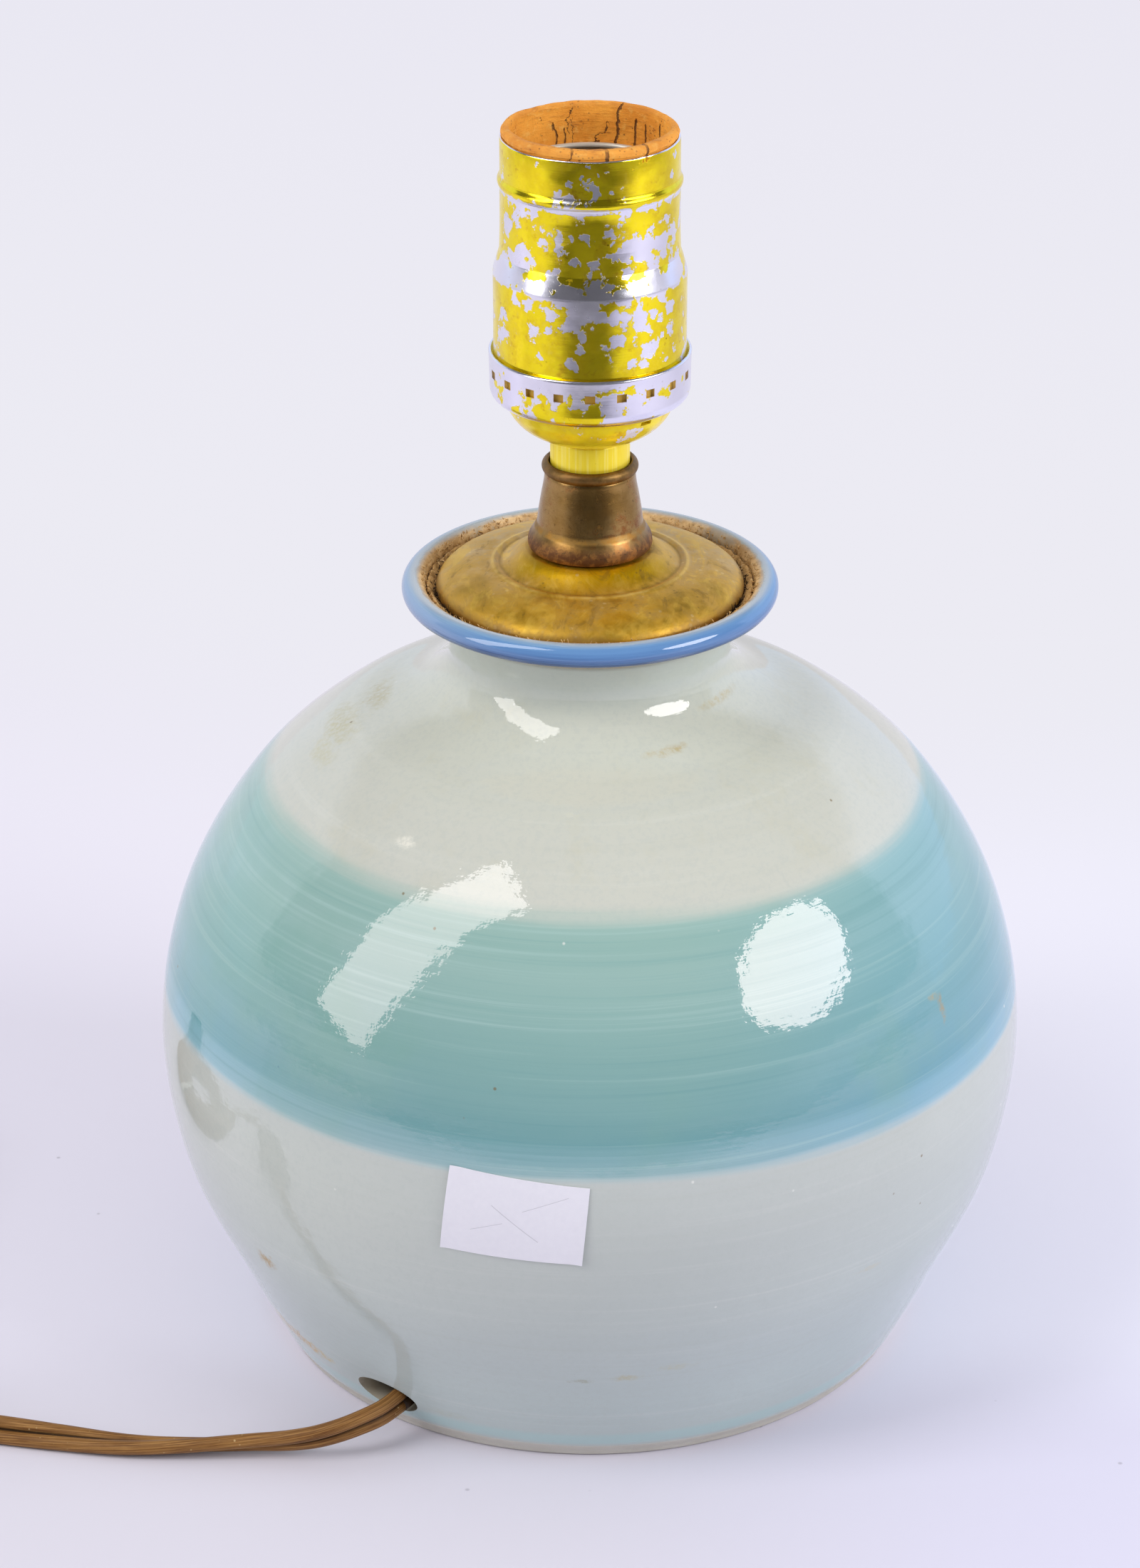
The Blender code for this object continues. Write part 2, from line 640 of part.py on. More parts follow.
# Brass work on the pot
def make_gasket():
    outer = LIP_INNER_RADIUS - GAP
    inner = CAP_RADIUS - GASKET_OVERLAP
    low_outer, low_inner = flare_level(outer) + GAP, flare_level(inner) + GAP
    outline = [
        (outer, low_outer + GASKET_THICKNESS),
        (outer, low_outer),
        (inner, low_inner),
        (inner, low_inner + GASKET_THICKNESS),
    ]
    return turned("rim_gasket", outline, FELT, BRASS_SIDES)


def make_vase_cap():
    crown = CAP_EDGE_LEVEL + CAP_CROWN
    ridge_in = CAP_RIDGE_RADIUS - CAP_RIDGE_WIDTH / 2
    ridge_out = CAP_RIDGE_RADIUS + CAP_RIDGE_WIDTH / 2
    outline = [(BORE_RADIUS, CAP_TOP), (CAP_HUB_RADIUS, CAP_TOP)]
    outline += between((CAP_HUB_RADIUS, CAP_TOP), (ridge_in, crown), CAP_HUB_SHARES)
    outline += [(CAP_RIDGE_RADIUS, crown + CAP_RIDGE_HEIGHT), (ridge_out, crown)]
    outline += between((ridge_out, crown), (CAP_RADIUS, CAP_EDGE_LEVEL), CAP_RIM_SHARES)
    return spun_sheet("vase_cap", outline, CAP_SHEET, BRASS, BRASS_SIDES)


def make_brass_neck():
    bottom, top = BRASS_NECK_BOTTOM, BRASS_NECK_TOP
    waist = (BRASS_NECK_WAIST_RADIUS, top - BRASS_NECK_BEAD_HEIGHT)
    cone = (BRASS_NECK_CONE_RADIUS, bottom + BRASS_NECK_FOOT_HEIGHT)
    foot = (BRASS_NECK_FOOT_RADIUS, bottom)
    bead = (BRASS_NECK_BEAD_RADIUS - BRASS_NECK_BEAD_HEIGHT / 2, top - BRASS_NECK_BEAD_HEIGHT / 2)
    cup = COLLAR_RADIUS + GAP
    outline = [(cup, top), *arc(bead, BRASS_NECK_BEAD_HEIGHT / 2, 75, -60, 5)]
    outline += between(waist, cone, BRASS_NECK_CONE_SHARES)
    outline += between(cone, foot, BRASS_NECK_FOOT_SHARES)
    outline += [
        (BORE_RADIUS, bottom),
        (BORE_RADIUS, BRASS_NECK_LEDGE),
        (cup, BRASS_NECK_LEDGE),
    ]
    return turned("brass_neck", outline, BRONZE, BRASS_SIDES)


# Lamp pipe and what clamps it under the pot
def make_pipe_and_fasteners():
    length = PIPE_TOP - PIPE_BOTTOM
    washer("lamp_pipe", PIPE_RADIUS, PIPE_BORE_RADIUS, PIPE_TOP, length, STEEL, SMALL_SIDES)
    washer(
        "base_rubber_washer",
        RUBBER_WASHER_RADIUS,
        BORE_RADIUS,
        RUBBER_WASHER_TOP,
        RUBBER_WASHER_THICKNESS,
        RUBBER,
        SMALL_SIDES,
    )
    washer(
        "base_steel_washer",
        STEEL_WASHER_RADIUS,
        BORE_RADIUS,
        STEEL_WASHER_TOP,
        STEEL_WASHER_THICKNESS,
        STEEL,
        SMALL_SIDES,
    )
    nut_bottom = NUT_TOP - NUT_HEIGHT
    nut = rod(
        "base_hex_nut",
        (0.0, 0.0, nut_bottom),
        (0.0, 0.0, NUT_TOP),
        NUT_ACROSS_CORNERS / 2,
        STEEL,
        6,
    )
    bore = rod(
        "nut_bore",
        (0.0, 0.0, nut_bottom - OVERRUN),
        (0.0, 0.0, NUT_TOP + OVERRUN),
        BORE_RADIUS,
        STEEL,
        SMALL_SIDES,
        CUTTERS,
    )
    change(nut, bore)


# Socket, from the collar up
def make_collar():
    spigot_top = DOME_BOTTOM + SOCKET_SHEET + GAP
    flange_top = spigot_top + COLLAR_FLANGE_THICKNESS
    outline = [
        (COLLAR_FLANGE_RADIUS, flange_top),
        (COLLAR_FLANGE_RADIUS, spigot_top),
        (COLLAR_SPIGOT_RADIUS, spigot_top),
        (COLLAR_SPIGOT_RADIUS, COLLAR_SHOULDER),
        (COLLAR_RADIUS, COLLAR_SHOULDER),
        (COLLAR_RADIUS, COLLAR_BOTTOM),
        (BORE_RADIUS, COLLAR_BOTTOM),
        (BORE_RADIUS, PIPE_TOP + GAP),
        (COLLAR_MOUTH_RADIUS, PIPE_TOP + GAP),
        (COLLAR_MOUTH_RADIUS, flange_top),
    ]
    collar = turned("socket_collar", outline, GILT, SMALL_SIDES)
    level = COLLAR_BOTTOM + COLLAR_HEIGHT / 2
    outside = COLLAR_RADIUS + SET_SCREW_STANDOFF
    hole = rod(
        "set_screw_hole",
        (0.0, PIPE_RADIUS - GAP, level),
        (0.0, outside + OVERRUN, level),
        SET_SCREW_RADIUS + GAP,
        GILT,
        SMALL_SIDES // 2,
        CUTTERS,
    )
    change(collar, hole)
    tip = (0.0, PIPE_RADIUS + GAP, level)
    head = (0.0, outside, level)
    rod("collar_set_screw", tip, head, SET_SCREW_RADIUS, STEEL, SMALL_SIDES // 2)


def make_socket_cap():
    seam = (DOME_RADIUS, DOME_TOP + CAP_DOME_STEP)
    dome_foot = (CAP_DOME_FOOT_RADIUS, DOME_BOTTOM)
    outline = [(RING_RADIUS, RING_TOP)]
    outline += between((RING_RADIUS, RING_FLOOR), seam, CAP_TURN_SHARES)
    outline += between((DOME_RADIUS, DOME_TOP), dome_foot, CAP_DOME_SHARES)
    outline += [(COLLAR_SPIGOT_RADIUS + GAP, DOME_BOTTOM)]
    cap = spun_sheet("socket_cap", outline, SOCKET_SHEET, GILT, SOCKET_SIDES)
    level = RING_TOP - WINDOW_DROP
    half = Vector((WINDOW_WIDTH / 2, 0.0, WINDOW_HEIGHT / 2))
    inner, outer = RING_RADIUS - SOCKET_SHEET - GAP, RING_RADIUS + OVERRUN
    windows = bmesh.new()
    for number in range(WINDOW_COUNT):
        low = Vector((0.0, inner, level)) - half
        high = Vector((0.0, outer, level)) + half
        made = bmesh.ops.create_cube(windows, size=1.0)["verts"]
        place = Matrix.Translation((low + high) / 2) @ Matrix.Diagonal((*(high - low), 1.0))
        turn = Matrix.Rotation(math.tau * number / WINDOW_COUNT, 4, "Z")
        bmesh.ops.transform(windows, matrix=turn @ place, verts=made)
    mesh = bpy.data.meshes.new("ring_windows")
    windows.to_mesh(mesh)
    windows.free()
    change(cap, add_object("ring_windows", mesh, GILT, CUTTERS))


def shell_outline():
    bead = (SHELL_MOUTH_RADIUS, SHELL_TOP - SHELL_BEAD_DROP)
    bead_top = (SHELL_MOUTH_RADIUS + SHELL_BEAD_HEIGHT, bead[1] + SHELL_BEAD_WIDTH / 2)
    shoulder_top = (SHELL_MOUTH_RADIUS, SHELL_TOP - SHELL_SHOULDER_DROP)
    shoulder_bottom = (SHELL_RADIUS, shoulder_top[1] - SHELL_SHOULDER_HEIGHT)
    outline = [(SHELL_MOUTH_RADIUS, SHELL_TOP)]
    outline += between(bead, bead_top, SHELL_BEAD_SHARES)
    outline += between(shoulder_top, shoulder_bottom, SHELL_SHOULDER_SHARES)
    return outline + [(SHELL_RADIUS, SHELL_BOTTOM)]


def make_shell_and_liner():
    spun_sheet("socket_shell", shell_outline(), SOCKET_SHEET, GILT, SOCKET_SIDES)
    shoulder_top = SHELL_TOP - SHELL_SHOULDER_DROP
    shoulder_bottom = shoulder_top - SHELL_SHOULDER_HEIGHT
    flare_bottom = LINER_TOP - LINER_FLARE_HEIGHT
    flare = (LINER_RADIUS + LINER_FLARE, LINER_TOP)
    outline = between(flare, (LINER_RADIUS, flare_bottom), LINER_FLARE_SHARES)
    outline += [
        (LINER_RADIUS, shoulder_top - GAP),
        (LINER_LOWER_RADIUS, shoulder_bottom - GAP),
        (LINER_LOWER_RADIUS, SHELL_BOTTOM + LINER_LIFT),
    ]
    spun_sheet("socket_liner", outline, LINER_WALL, CARDBOARD, SOCKET_SIDES)


def make_socket_body():
    cavity = SOCKET_BODY_RADIUS - SOCKET_BODY_WALL
    roof = SOCKET_BODY_BOTTOM + SOCKET_BODY_CAVITY
    chamfer = SOCKET_BODY_WALL / 4
    outline = [
        (0.0, SOCKET_BODY_TOP),
        (SOCKET_BODY_RADIUS - chamfer, SOCKET_BODY_TOP),
        (SOCKET_BODY_RADIUS, SOCKET_BODY_TOP - chamfer),
        (SOCKET_BODY_RADIUS, SOCKET_BODY_BOTTOM),
        (cavity, SOCKET_BODY_BOTTOM),
        (cavity, roof),
        (0.0, roof),
    ]
    body = turned("socket_body", outline, BAKELITE, SMALL_SIDES, closed=False)
    level = SOCKET_BODY_BOTTOM + TERMINAL_LEVEL
    seat = SOCKET_BODY_RADIUS - TERMINAL_NOTCH_DEPTH
    half_width, half_height = TERMINAL_NOTCH_WIDTH / 2, TERMINAL_NOTCH_HEIGHT / 2
    finishes = {"terminal_screw_brass": BRASS, "terminal_screw_nickel": ALUMINIUM}
    for side, (name, finish) in zip((1, -1), finishes.items()):
        outer = side * (SOCKET_BODY_RADIUS + OVERRUN)
        corners = sorted((side * seat, outer))
        low = (corners[0], -half_width, level - half_height)
        high = (corners[1], half_width, level + half_height)
        change(body, block(f"{name}_notch", low, high, BAKELITE, CUTTERS))
        tip = side * (seat - TERMINAL_SHANK_LENGTH)
        inside = side * (cavity - OVERRUN)
        hole = SMALL_SIDES // 2
        radius = TERMINAL_SHANK_RADIUS + GAP
        far = (side * (seat + OVERRUN), 0.0, level)
        change(
            body,
            rod(f"{name}_hole", (inside, 0.0, level), far, radius, BAKELITE, hole, CUTTERS),
        )
        base = side * (seat + GAP)
        face = side * (seat + GAP + TERMINAL_HEAD_THICKNESS)
        start, stop = (tip, 0.0, level), (base, 0.0, level)
        screw = rod(name, start, (face, 0.0, level), TERMINAL_SHANK_RADIUS, finish, hole)
        head = rod(
            f"{name}_head", stop, (face, 0.0, level), TERMINAL_HEAD_RADIUS, finish, hole, CUTTERS
        )
        change(screw, head, "UNION")


def make_screw_shell():
    """The threaded sleeve; its rolled thread is drawn as rings."""
    floor = SOCKET_BODY_TOP + GAP + THREAD_SHEET
    foot = floor + THREAD_PITCH / 2
    crest, root = SCREW_SHELL_RADIUS, SCREW_SHELL_RADIUS - THREAD_DEPTH
    outline = []
    for half_turn in range(2 * THREAD_TURNS, 0, -1):
        radius = root if half_turn % 2 else crest
        outline.append((radius, foot + half_turn * THREAD_PITCH / 2))
    outline.insert(0, (crest, outline[0][1] + THREAD_LIP))
    outline += [(root, foot), (root - THREAD_DEPTH, floor), (THREAD_FLOOR_RADIUS, floor)]
    spun_sheet("screw_shell", outline, THREAD_SHEET, ALUMINIUM, THREAD_SIDES)


def make_centre_contact():
    """A sprung tongue, fixed at its -X end, that a bulb's tip presses down."""
    tip = TONGUE_LENGTH, TONGUE_RISE - TONGUE_TIP_DROP
    lower = [(0.0, 0.0), (TONGUE_REACH, TONGUE_RISE), tip]
    upper = [(along, level + TONGUE_SHEET) for along, level in reversed(lower)]
    half = TONGUE_WIDTH / 2
    tongue = plate("centre_contact", [lower + upper], -half, half, BRASS)
    tongue.location = (-TONGUE_REACH, 0.0, SOCKET_BODY_TOP + GAP)
    tongue.rotation_euler.x = math.pi / 2


# Wires inside the lamp
def cord_exit():
    level = CORD_HOLE_LEVEL
    return around(pot_radius(level), CORD_EXIT_ANGLE, level)


def make_inner_wires():
    """The cord from its hole in the foot to the pipe's top, and its two ends in the socket."""
    exit_point = cord_exit()
    reach = exit_point.xy.length
    outward = Vector((exit_point.x, exit_point.y, 0.0)) / reach
    low = Vector((0.0, 0.0, CORD_LEVEL + CORD_RADIUS))
    drop = Vector((0.0, 0.0, PIPE_BOTTOM)) - low
    rise = exit_point.z - low.z
    ring_inside = exit_point - outward * (FOOT_RING_WIDTH + OVERRUN)
    away, up = UNDER_POT_RISE_SHARES
    route = [Vector((0.0, 0.0, PIPE_TOP))]
    route += [low + drop * share for share in PIPE_ENTRY_SHARES]
    route += [low + outward * (reach * far) + drop * high for far, high in UNDER_POT_SHARES]
    route += [low + outward * (reach * away) + Vector((0.0, 0.0, rise * up))]
    route += [ring_inside, exit_point - outward * GAP]
    lower = cord_path(route[1:], CORD_POINT_STEP / 2)
    tube("inner_cord", [route[0], *lower], CORD_RADIUS, CORD_BROWN)
    start = PIPE_TOP + GAP
    end_level = SOCKET_BODY_BOTTOM + TERMINAL_LEVEL
    seat = SOCKET_BODY_RADIUS - TERMINAL_NOTCH_DEPTH
    end = seat - TERMINAL_SHANK_LENGTH - GAP
    for side, name in ((1, "lead_wire_live"), (-1, "lead_wire_neutral")):
        places = between((LEAD_SPACING / 2, start), (end, end_level), LEAD_SHARES)
        places += [(end - LEAD_RADIUS * 2, end_level), (end, end_level)]
        path = [Vector((side * out, 0.0, level)) for out, level in places]
        tube(name, through(path, 2), LEAD_RADIUS, CORD_BROWN)


# Cord outside the lamp
def make_cord_run():
    exit_point = cord_exit()
    route = []
    for east, north, share in ROUTE_TO_SWITCH:
        level = CORD_LEVEL + (exit_point.z - CORD_LEVEL) * share
        route.append(Vector((exit_point.x + east, exit_point.y + north, level)))
    inlet = switch_end(1)
    route.append(inlet + Vector((CORD_DIAMETER, 0.0, 0.0)))
    route.append(inlet + Vector((GAP, 0.0, 0.0)))
    tube("cord_run", cord_path(route, CORD_POINT_STEP), CORD_RADIUS, CORD_BROWN)


def switch_end(side):
    """The middle of the switch's end face: 1 towards the lamp, -1 towards the plug."""
    exit_point = cord_exit()
    away = SWITCH_DISTANCE if side > 0 else SWITCH_DISTANCE + SWITCH_LENGTH
    return Vector((exit_point.x - away, exit_point.y, SWITCH_MIDDLE))


def switch_outline():
    """The switch seen from above, round its middle, with straight ends for the cord."""
    end = (SWITCH_LENGTH / 2, SWITCH_END_WIDTH / 2)
    side = (SWITCH_LENGTH / 2 * SWITCH_STRAIGHT_SHARE, SWITCH_WIDTH / 2)
    quarter = between(end, side, SWITCH_CORNER_SHARES)
    upper = quarter + [(-x, y) for x, y in reversed(quarter)]
    return upper + [(x, -y) for x, y in reversed(upper)]


def make_switch():
    inlet = switch_end(1)
    middle = Vector((inlet.x - SWITCH_LENGTH / 2, inlet.y, 0.0))
    outline = [(middle.x + x, middle.y + y) for x, y in switch_outline()]
    top = TABLE_GAP + SWITCH_HEIGHT
    hub = Vector((middle.x, middle.y - SWITCH_WIDTH / 2 - WHEEL_STANDOUT + WHEEL_RADIUS))
    halves = {
        "switch_lower_half": (TABLE_GAP, SWITCH_MIDDLE - GAP / 2),
        "switch_upper_half": (SWITCH_MIDDLE + GAP / 2, top),
    }
    room_half = WHEEL_THICKNESS / 2 + WHEEL_PLAY
    axle_half = WHEEL_THICKNESS / 2 + WHEEL_AXLE_STUB + WHEEL_PLAY
    for name, (low, high) in halves.items():
        half = as_mesh(plate(name, [outline], low, high, PLASTIC_BROWN))
        soften(half, SWITCH_EDGE, math.radians(60))
        wheel_room = rod(
            f"{name}_wheel_room",
            (*hub, SWITCH_MIDDLE - room_half),
            (*hub, SWITCH_MIDDLE + room_half),
            WHEEL_RADIUS + WHEEL_PLAY,
            PLASTIC_BROWN,
            SMALL_SIDES,
            CUTTERS,
        )
        axle_room = rod(
            f"{name}_axle_room",
            (*hub, SWITCH_MIDDLE - axle_half),
            (*hub, SWITCH_MIDDLE + axle_half),
            WHEEL_AXLE_RADIUS + WHEEL_PLAY,
            PLASTIC_BROWN,
            SMALL_SIDES // 2,
            CUTTERS,
        )
        change(half, wheel_room)
        change(half, axle_room)
        for side in (1, -1):
            place = (middle.x + side * SWITCH_SCREW_OFFSET, middle.y)
            change(half, screw_room(f"{name}_screw_{side}", place, top))
    for side, name in ((1, "switch_screw_near"), (-1, "switch_screw_far")):
        place = (middle.x + side * SWITCH_SCREW_OFFSET, middle.y)
        switch_screw(name, place, top)
    make_wheel(hub)


def stepped_pin(name, place, levels, radii, finish, sides, home=None):
    """An upright pin with a wider head; levels are foot, step and top."""
    foot, step, top = levels
    shank, head = radii
    outline = [(0.0, top), (head, top), (head, step), (shank, step), (shank, foot), (0.0, foot)]
    made = turned(name, outline, finish, sides, closed=False, home=home)
    made.location = (*place, 0.0)
    return made


def screw_room(name, place, top):
    levels = (
        SWITCH_SCREW_FLOOR - GAP,
        top - SWITCH_SCREW_HEAD_HEIGHT - GAP,
        top + OVERRUN,
    )
    radii = (SWITCH_SCREW_RADIUS + GAP, SWITCH_SCREW_HEAD_RADIUS + GAP)
    return stepped_pin(name, place, levels, radii, PLASTIC_BROWN, SMALL_SIDES // 2, CUTTERS)


def switch_screw(name, place, top):
    levels = (SWITCH_SCREW_FLOOR, top - SWITCH_SCREW_HEAD_HEIGHT, top - GAP)
    radii = (SWITCH_SCREW_RADIUS, SWITCH_SCREW_HEAD_RADIUS)
    return stepped_pin(name, place, levels, radii, STEEL, SMALL_SIDES // 2)


def make_wheel(hub):
    """The ribbed thumb wheel with its axle; it turns on its hub about Z."""
    outline = []
    for number in range(2 * WHEEL_RIBS):
        radius = WHEEL_RADIUS - (number % 2) * WHEEL_RIB_DEPTH
        angle = math.tau * number / (2 * WHEEL_RIBS)
        outline.append((radius * math.cos(angle), radius * math.sin(angle)))
    low, high = -WHEEL_THICKNESS / 2, WHEEL_THICKNESS / 2
    wheel = as_mesh(plate("switch_wheel", [outline], low, high, PLASTIC_BROWN))
    axle = rod(
        "wheel_axle",
        (0.0, 0.0, low - WHEEL_AXLE_STUB),
        (0.0, 0.0, high + WHEEL_AXLE_STUB),
        WHEEL_AXLE_RADIUS,
        PLASTIC_BROWN,
        SMALL_SIDES // 2,
        CUTTERS,
    )
    change(wheel, axle, "UNION")
    wheel.location = (*hub, SWITCH_MIDDLE)
    axle.location = wheel.location


def coil_centre():
    outlet = switch_end(-1)
    bend_x = outlet.x - SWITCH_LEAD_OUT
    south = outlet.y + 2 * FEED_BEND_RADIUS
    return Vector((bend_x + COIL_LEAD_IN, south + COIL_OUTER_RADIUS))


def coil_place(turn, centre):
    """The cord's centre after so many turns: in on the lower layer, out on the upper."""
    past = turn - COIL_TURNS / 2
    radius = COIL_CORE_RADIUS + COIL_STEP * abs(past)
    climb = min(1.0, max(0.0, past * 2 + 0.5))
    climb = climb * climb * (3 - 2 * climb)
    angle = math.tau * turn - math.pi / 2
    east, north = radius * math.cos(angle), radius * math.sin(angle)
    return Vector((centre.x + east, centre.y + north, COIL_LEVEL + COIL_STEP * climb))


def least_self_gap(path, diameter, apart):
    """The least space between two stretches of a tube that are so many points apart."""
    least = math.inf
    for first, point in enumerate(path):
        for second in range(first + apart, len(path) - 1):
            start, end = path[second], path[second + 1]
            near, share = intersect_point_line(point, start, end)
            near = start if share < 0 else end if share > 1 else near
            least = min(least, (near - point).length - diameter)
    return least


def coil_path():
    """The coil's points, with a straight end of one diameter at each side."""
    centre = coil_centre()
    count = round(COIL_TURNS * COIL_POINTS_PER_TURN)
    turns = [COIL_TURNS * step / count for step in range(count + 1)]
    path = [coil_place(turn, centre) for turn in turns]
    head = path[0] - coil_place(COIL_TANGENT_TURN, centre)
    tail = path[-1] - coil_place(COIL_TURNS - COIL_TANGENT_TURN, centre)
    start = path[0] + head.normalized() * CORD_DIAMETER
    end = path[-1] + tail.normalized() * CORD_DIAMETER
    return [start, *path, end]


def make_coil():
    path = coil_path()
    gap = least_self_gap(path, CORD_DIAMETER, COIL_POINTS_PER_TURN // 2)
    print(f"cord_coil: least gap to itself {gap / MM:.2f} mm")
    tube("cord_coil", path, CORD_RADIUS, CORD_BROWN, resolution=1)


def make_coil_tie():
    """A flat strap round the coil's bundle of turns."""
    centre = coil_centre()
    first = (TIE_ANGLE / math.tau + 0.25) % 1.0
    turns = [first + number for number in range(math.ceil(COIL_TURNS - first))]
    radii = [(coil_place(turn, centre).xy - centre).length for turn in turns]
    inner = min(radii) - CORD_RADIUS - TIE_PLAY
    outer = max(radii) + CORD_RADIUS + TIE_PLAY
    low = COIL_LEVEL - CORD_RADIUS - TIE_PLAY
    high = COIL_LEVEL + COIL_STEP + CORD_RADIUS + TIE_PLAY
    inside = rounded_box((inner, low), (outer, high), TIE_CORNER)
    wall = TIE_THICKNESS
    outside = rounded_box(
        (inner - wall, low - wall), (outer + wall, high + wall), TIE_CORNER + wall
    )
    half = TIE_WIDTH / 2
    tie = plate("coil_tie", [outside, inside], -half, half, TIE_WHITE)
    tie.location = (*centre, 0.0)
    tie.rotation_euler = (math.pi / 2, 0.0, TIE_ANGLE)


def make_feed():
    """The cord from the switch round to the coil."""
    outlet = switch_end(-1)
    start = coil_path()[0]
    into = (coil_path()[1] - start).normalized()
    bend = Vector((outlet.x - SWITCH_LEAD_OUT, outlet.y + FEED_BEND_RADIUS))
    end = start - into * GAP
    route = [outlet - Vector((GAP, 0.0, 0.0)), outlet - Vector((CORD_DIAMETER, 0.0, 0.0))]
    for step in range(FEED_BEND_POINTS + 1):
        share = step / FEED_BEND_POINTS
        angle = -math.pi / 2 - math.pi * share
        level = outlet.z + (end.z - outlet.z) * min(1.0, share * 2)
        east = FEED_BEND_RADIUS * math.cos(angle)
        north = FEED_BEND_RADIUS * math.sin(angle)
        route.append(Vector((bend.x + east, bend.y + north, level)))
    route += [end - into * CORD_DIAMETER, end]
    tube("cord_feed", cord_path(route, CORD_POINT_STEP), CORD_RADIUS, CORD_BROWN)


# Plug at the cord's end
def plug_entry():
    """The middle of the plug's cord face, and the way the cord runs into it."""
    path = coil_path()
    way = path[-1] - path[-2]
    way.z = 0.0
    way.normalize()
    place = path[-1] + way * PLUG_TAIL
    return Vector((place.x, place.y, PLUG_MIDDLE)), way


def make_tail():
    end, way = plug_entry()
    path = coil_path()
    start = path[-1] + (path[-1] - path[-2]).normalized() * GAP
    route = [start, start + way * CORD_DIAMETER, end - way * CORD_DIAMETER, end - way * GAP]
    tube("cord_tail", cord_path(route, CORD_POINT_STEP / 2), CORD_RADIUS, CORD_BROWN)


def make_plug():
    entry, way = plug_entry()
    turn = Matrix.Rotation(math.atan2(way.y, way.x), 4, "Z")
    place = Matrix.Translation((entry.x, entry.y, 0.0)) @ turn
    neck, wide = PLUG_NECK_WIDTH / 2, PLUG_WIDTH / 2
    upper = between((0.0, neck), (PLUG_LENGTH * PLUG_TAPER_SHARE, wide), PLUG_TAPER_SHARES)
    upper += [(PLUG_LENGTH, wide)]
    outline = upper + [(x, -y) for x, y in reversed(upper)]
    top = TABLE_GAP + PLUG_HEIGHT
    body = as_mesh(plate("plug_body", [outline], TABLE_GAP, top, PLASTIC_BROWN))
    soften(body, PLUG_EDGE, math.radians(60))
    body.matrix_world = place @ body.matrix_world
    for side, name in ((1, "plug_blade_live"), (-1, "plug_blade_neutral")):
        across = side * BLADE_SPACING / 2
        half = Vector((0.0, BLADE_THICKNESS / 2, BLADE_HEIGHT / 2))
        root = Vector((PLUG_LENGTH - BLADE_ROOT, across, PLUG_MIDDLE))
        tip = Vector((PLUG_LENGTH + BLADE_LENGTH, across, PLUG_MIDDLE))
        play = Vector((GAP, GAP, GAP))
        past = Vector((PLUG_LENGTH + OVERRUN, across, PLUG_MIDDLE))
        slot = block(f"{name}_slot", root - half - play, past + half + play, STEEL, CUTTERS)
        slot.matrix_world = place
        change(body, slot)
        blade = block(name, root - half, tip + half, BRASS)
        hole_x = tip.x - BLADE_HOLE_INSET
        hole = rod(
            f"{name}_hole",
            (hole_x, across - BLADE_THICKNESS, PLUG_MIDDLE),
            (hole_x, across + BLADE_THICKNESS, PLUG_MIDDLE),
            BLADE_HOLE_RADIUS,
            STEEL,
            SMALL_SIDES // 2,
            CUTTERS,
        )
        blade.matrix_world = place
        hole.matrix_world = place
        change(blade, hole)


make_pot()
make_gasket()
make_vase_cap()
make_brass_neck()
make_pipe_and_fasteners()
make_collar()
make_socket_cap()
make_shell_and_liner()
make_socket_body()
make_screw_shell()
make_centre_contact()
make_inner_wires()
make_cord_run()
make_switch()
make_feed()
make_coil()
make_coil_tie()
make_tail()
make_plug()
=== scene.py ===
import math
import random

import bmesh
import bpy
import numpy as np
from mathutils import Matrix, Vector, noise


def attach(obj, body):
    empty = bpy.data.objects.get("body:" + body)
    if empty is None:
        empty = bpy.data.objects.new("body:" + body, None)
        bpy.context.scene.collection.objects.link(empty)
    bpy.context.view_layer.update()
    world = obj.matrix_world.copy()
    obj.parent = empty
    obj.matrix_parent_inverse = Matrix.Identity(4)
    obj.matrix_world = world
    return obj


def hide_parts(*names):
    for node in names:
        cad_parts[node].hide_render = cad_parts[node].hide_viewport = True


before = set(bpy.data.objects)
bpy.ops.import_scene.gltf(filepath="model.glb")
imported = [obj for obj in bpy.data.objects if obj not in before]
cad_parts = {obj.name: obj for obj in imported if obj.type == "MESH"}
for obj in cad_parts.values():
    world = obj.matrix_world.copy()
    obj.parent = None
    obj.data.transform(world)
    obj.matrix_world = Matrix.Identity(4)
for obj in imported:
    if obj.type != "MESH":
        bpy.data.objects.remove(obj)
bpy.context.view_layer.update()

MM = 0.001
scene = bpy.context.scene

# ---- camera
PHOTO_TALL, FOCAL_PX, SHIFT_PX = 2201, 6552.6, -28.18
cam_data = bpy.data.cameras.new("camera")
cam = bpy.data.objects.new("camera", cam_data)
scene.collection.objects.link(cam)
cam.location = (0.0, -0.7561, 0.46916)
cam.rotation_euler = (math.radians(64.271), 0.0, 0.0)
cam_data.sensor_width = 36.0
cam_data.sensor_fit = "AUTO"
cam_data.lens = FOCAL_PX / PHOTO_TALL * cam_data.sensor_width
cam_data.shift_x = SHIFT_PX / PHOTO_TALL
cam_data.clip_start = 0.01
scene.camera = cam


# ---- helpers: lines and meshes
def smooth_line(points, pieces):
    """Catmull-Rom through the points, in any dimension."""
    pts = [np.array(p, dtype=float) for p in points]
    ends = [2 * pts[0] - pts[1], *pts, 2 * pts[-1] - pts[-2]]
    out = []
    for a, b, c, d in zip(ends, ends[1:], ends[2:], ends[3:]):
        for k in range(pieces):
            t = k / pieces
            out.append(b + (c - a) * (t / 2) + (2 * a - 5 * b + 4 * c - d) * (t * t / 2)
                       + (3 * b - a - 3 * c + d) * (t ** 3 / 2))
    return out + [pts[-1]]


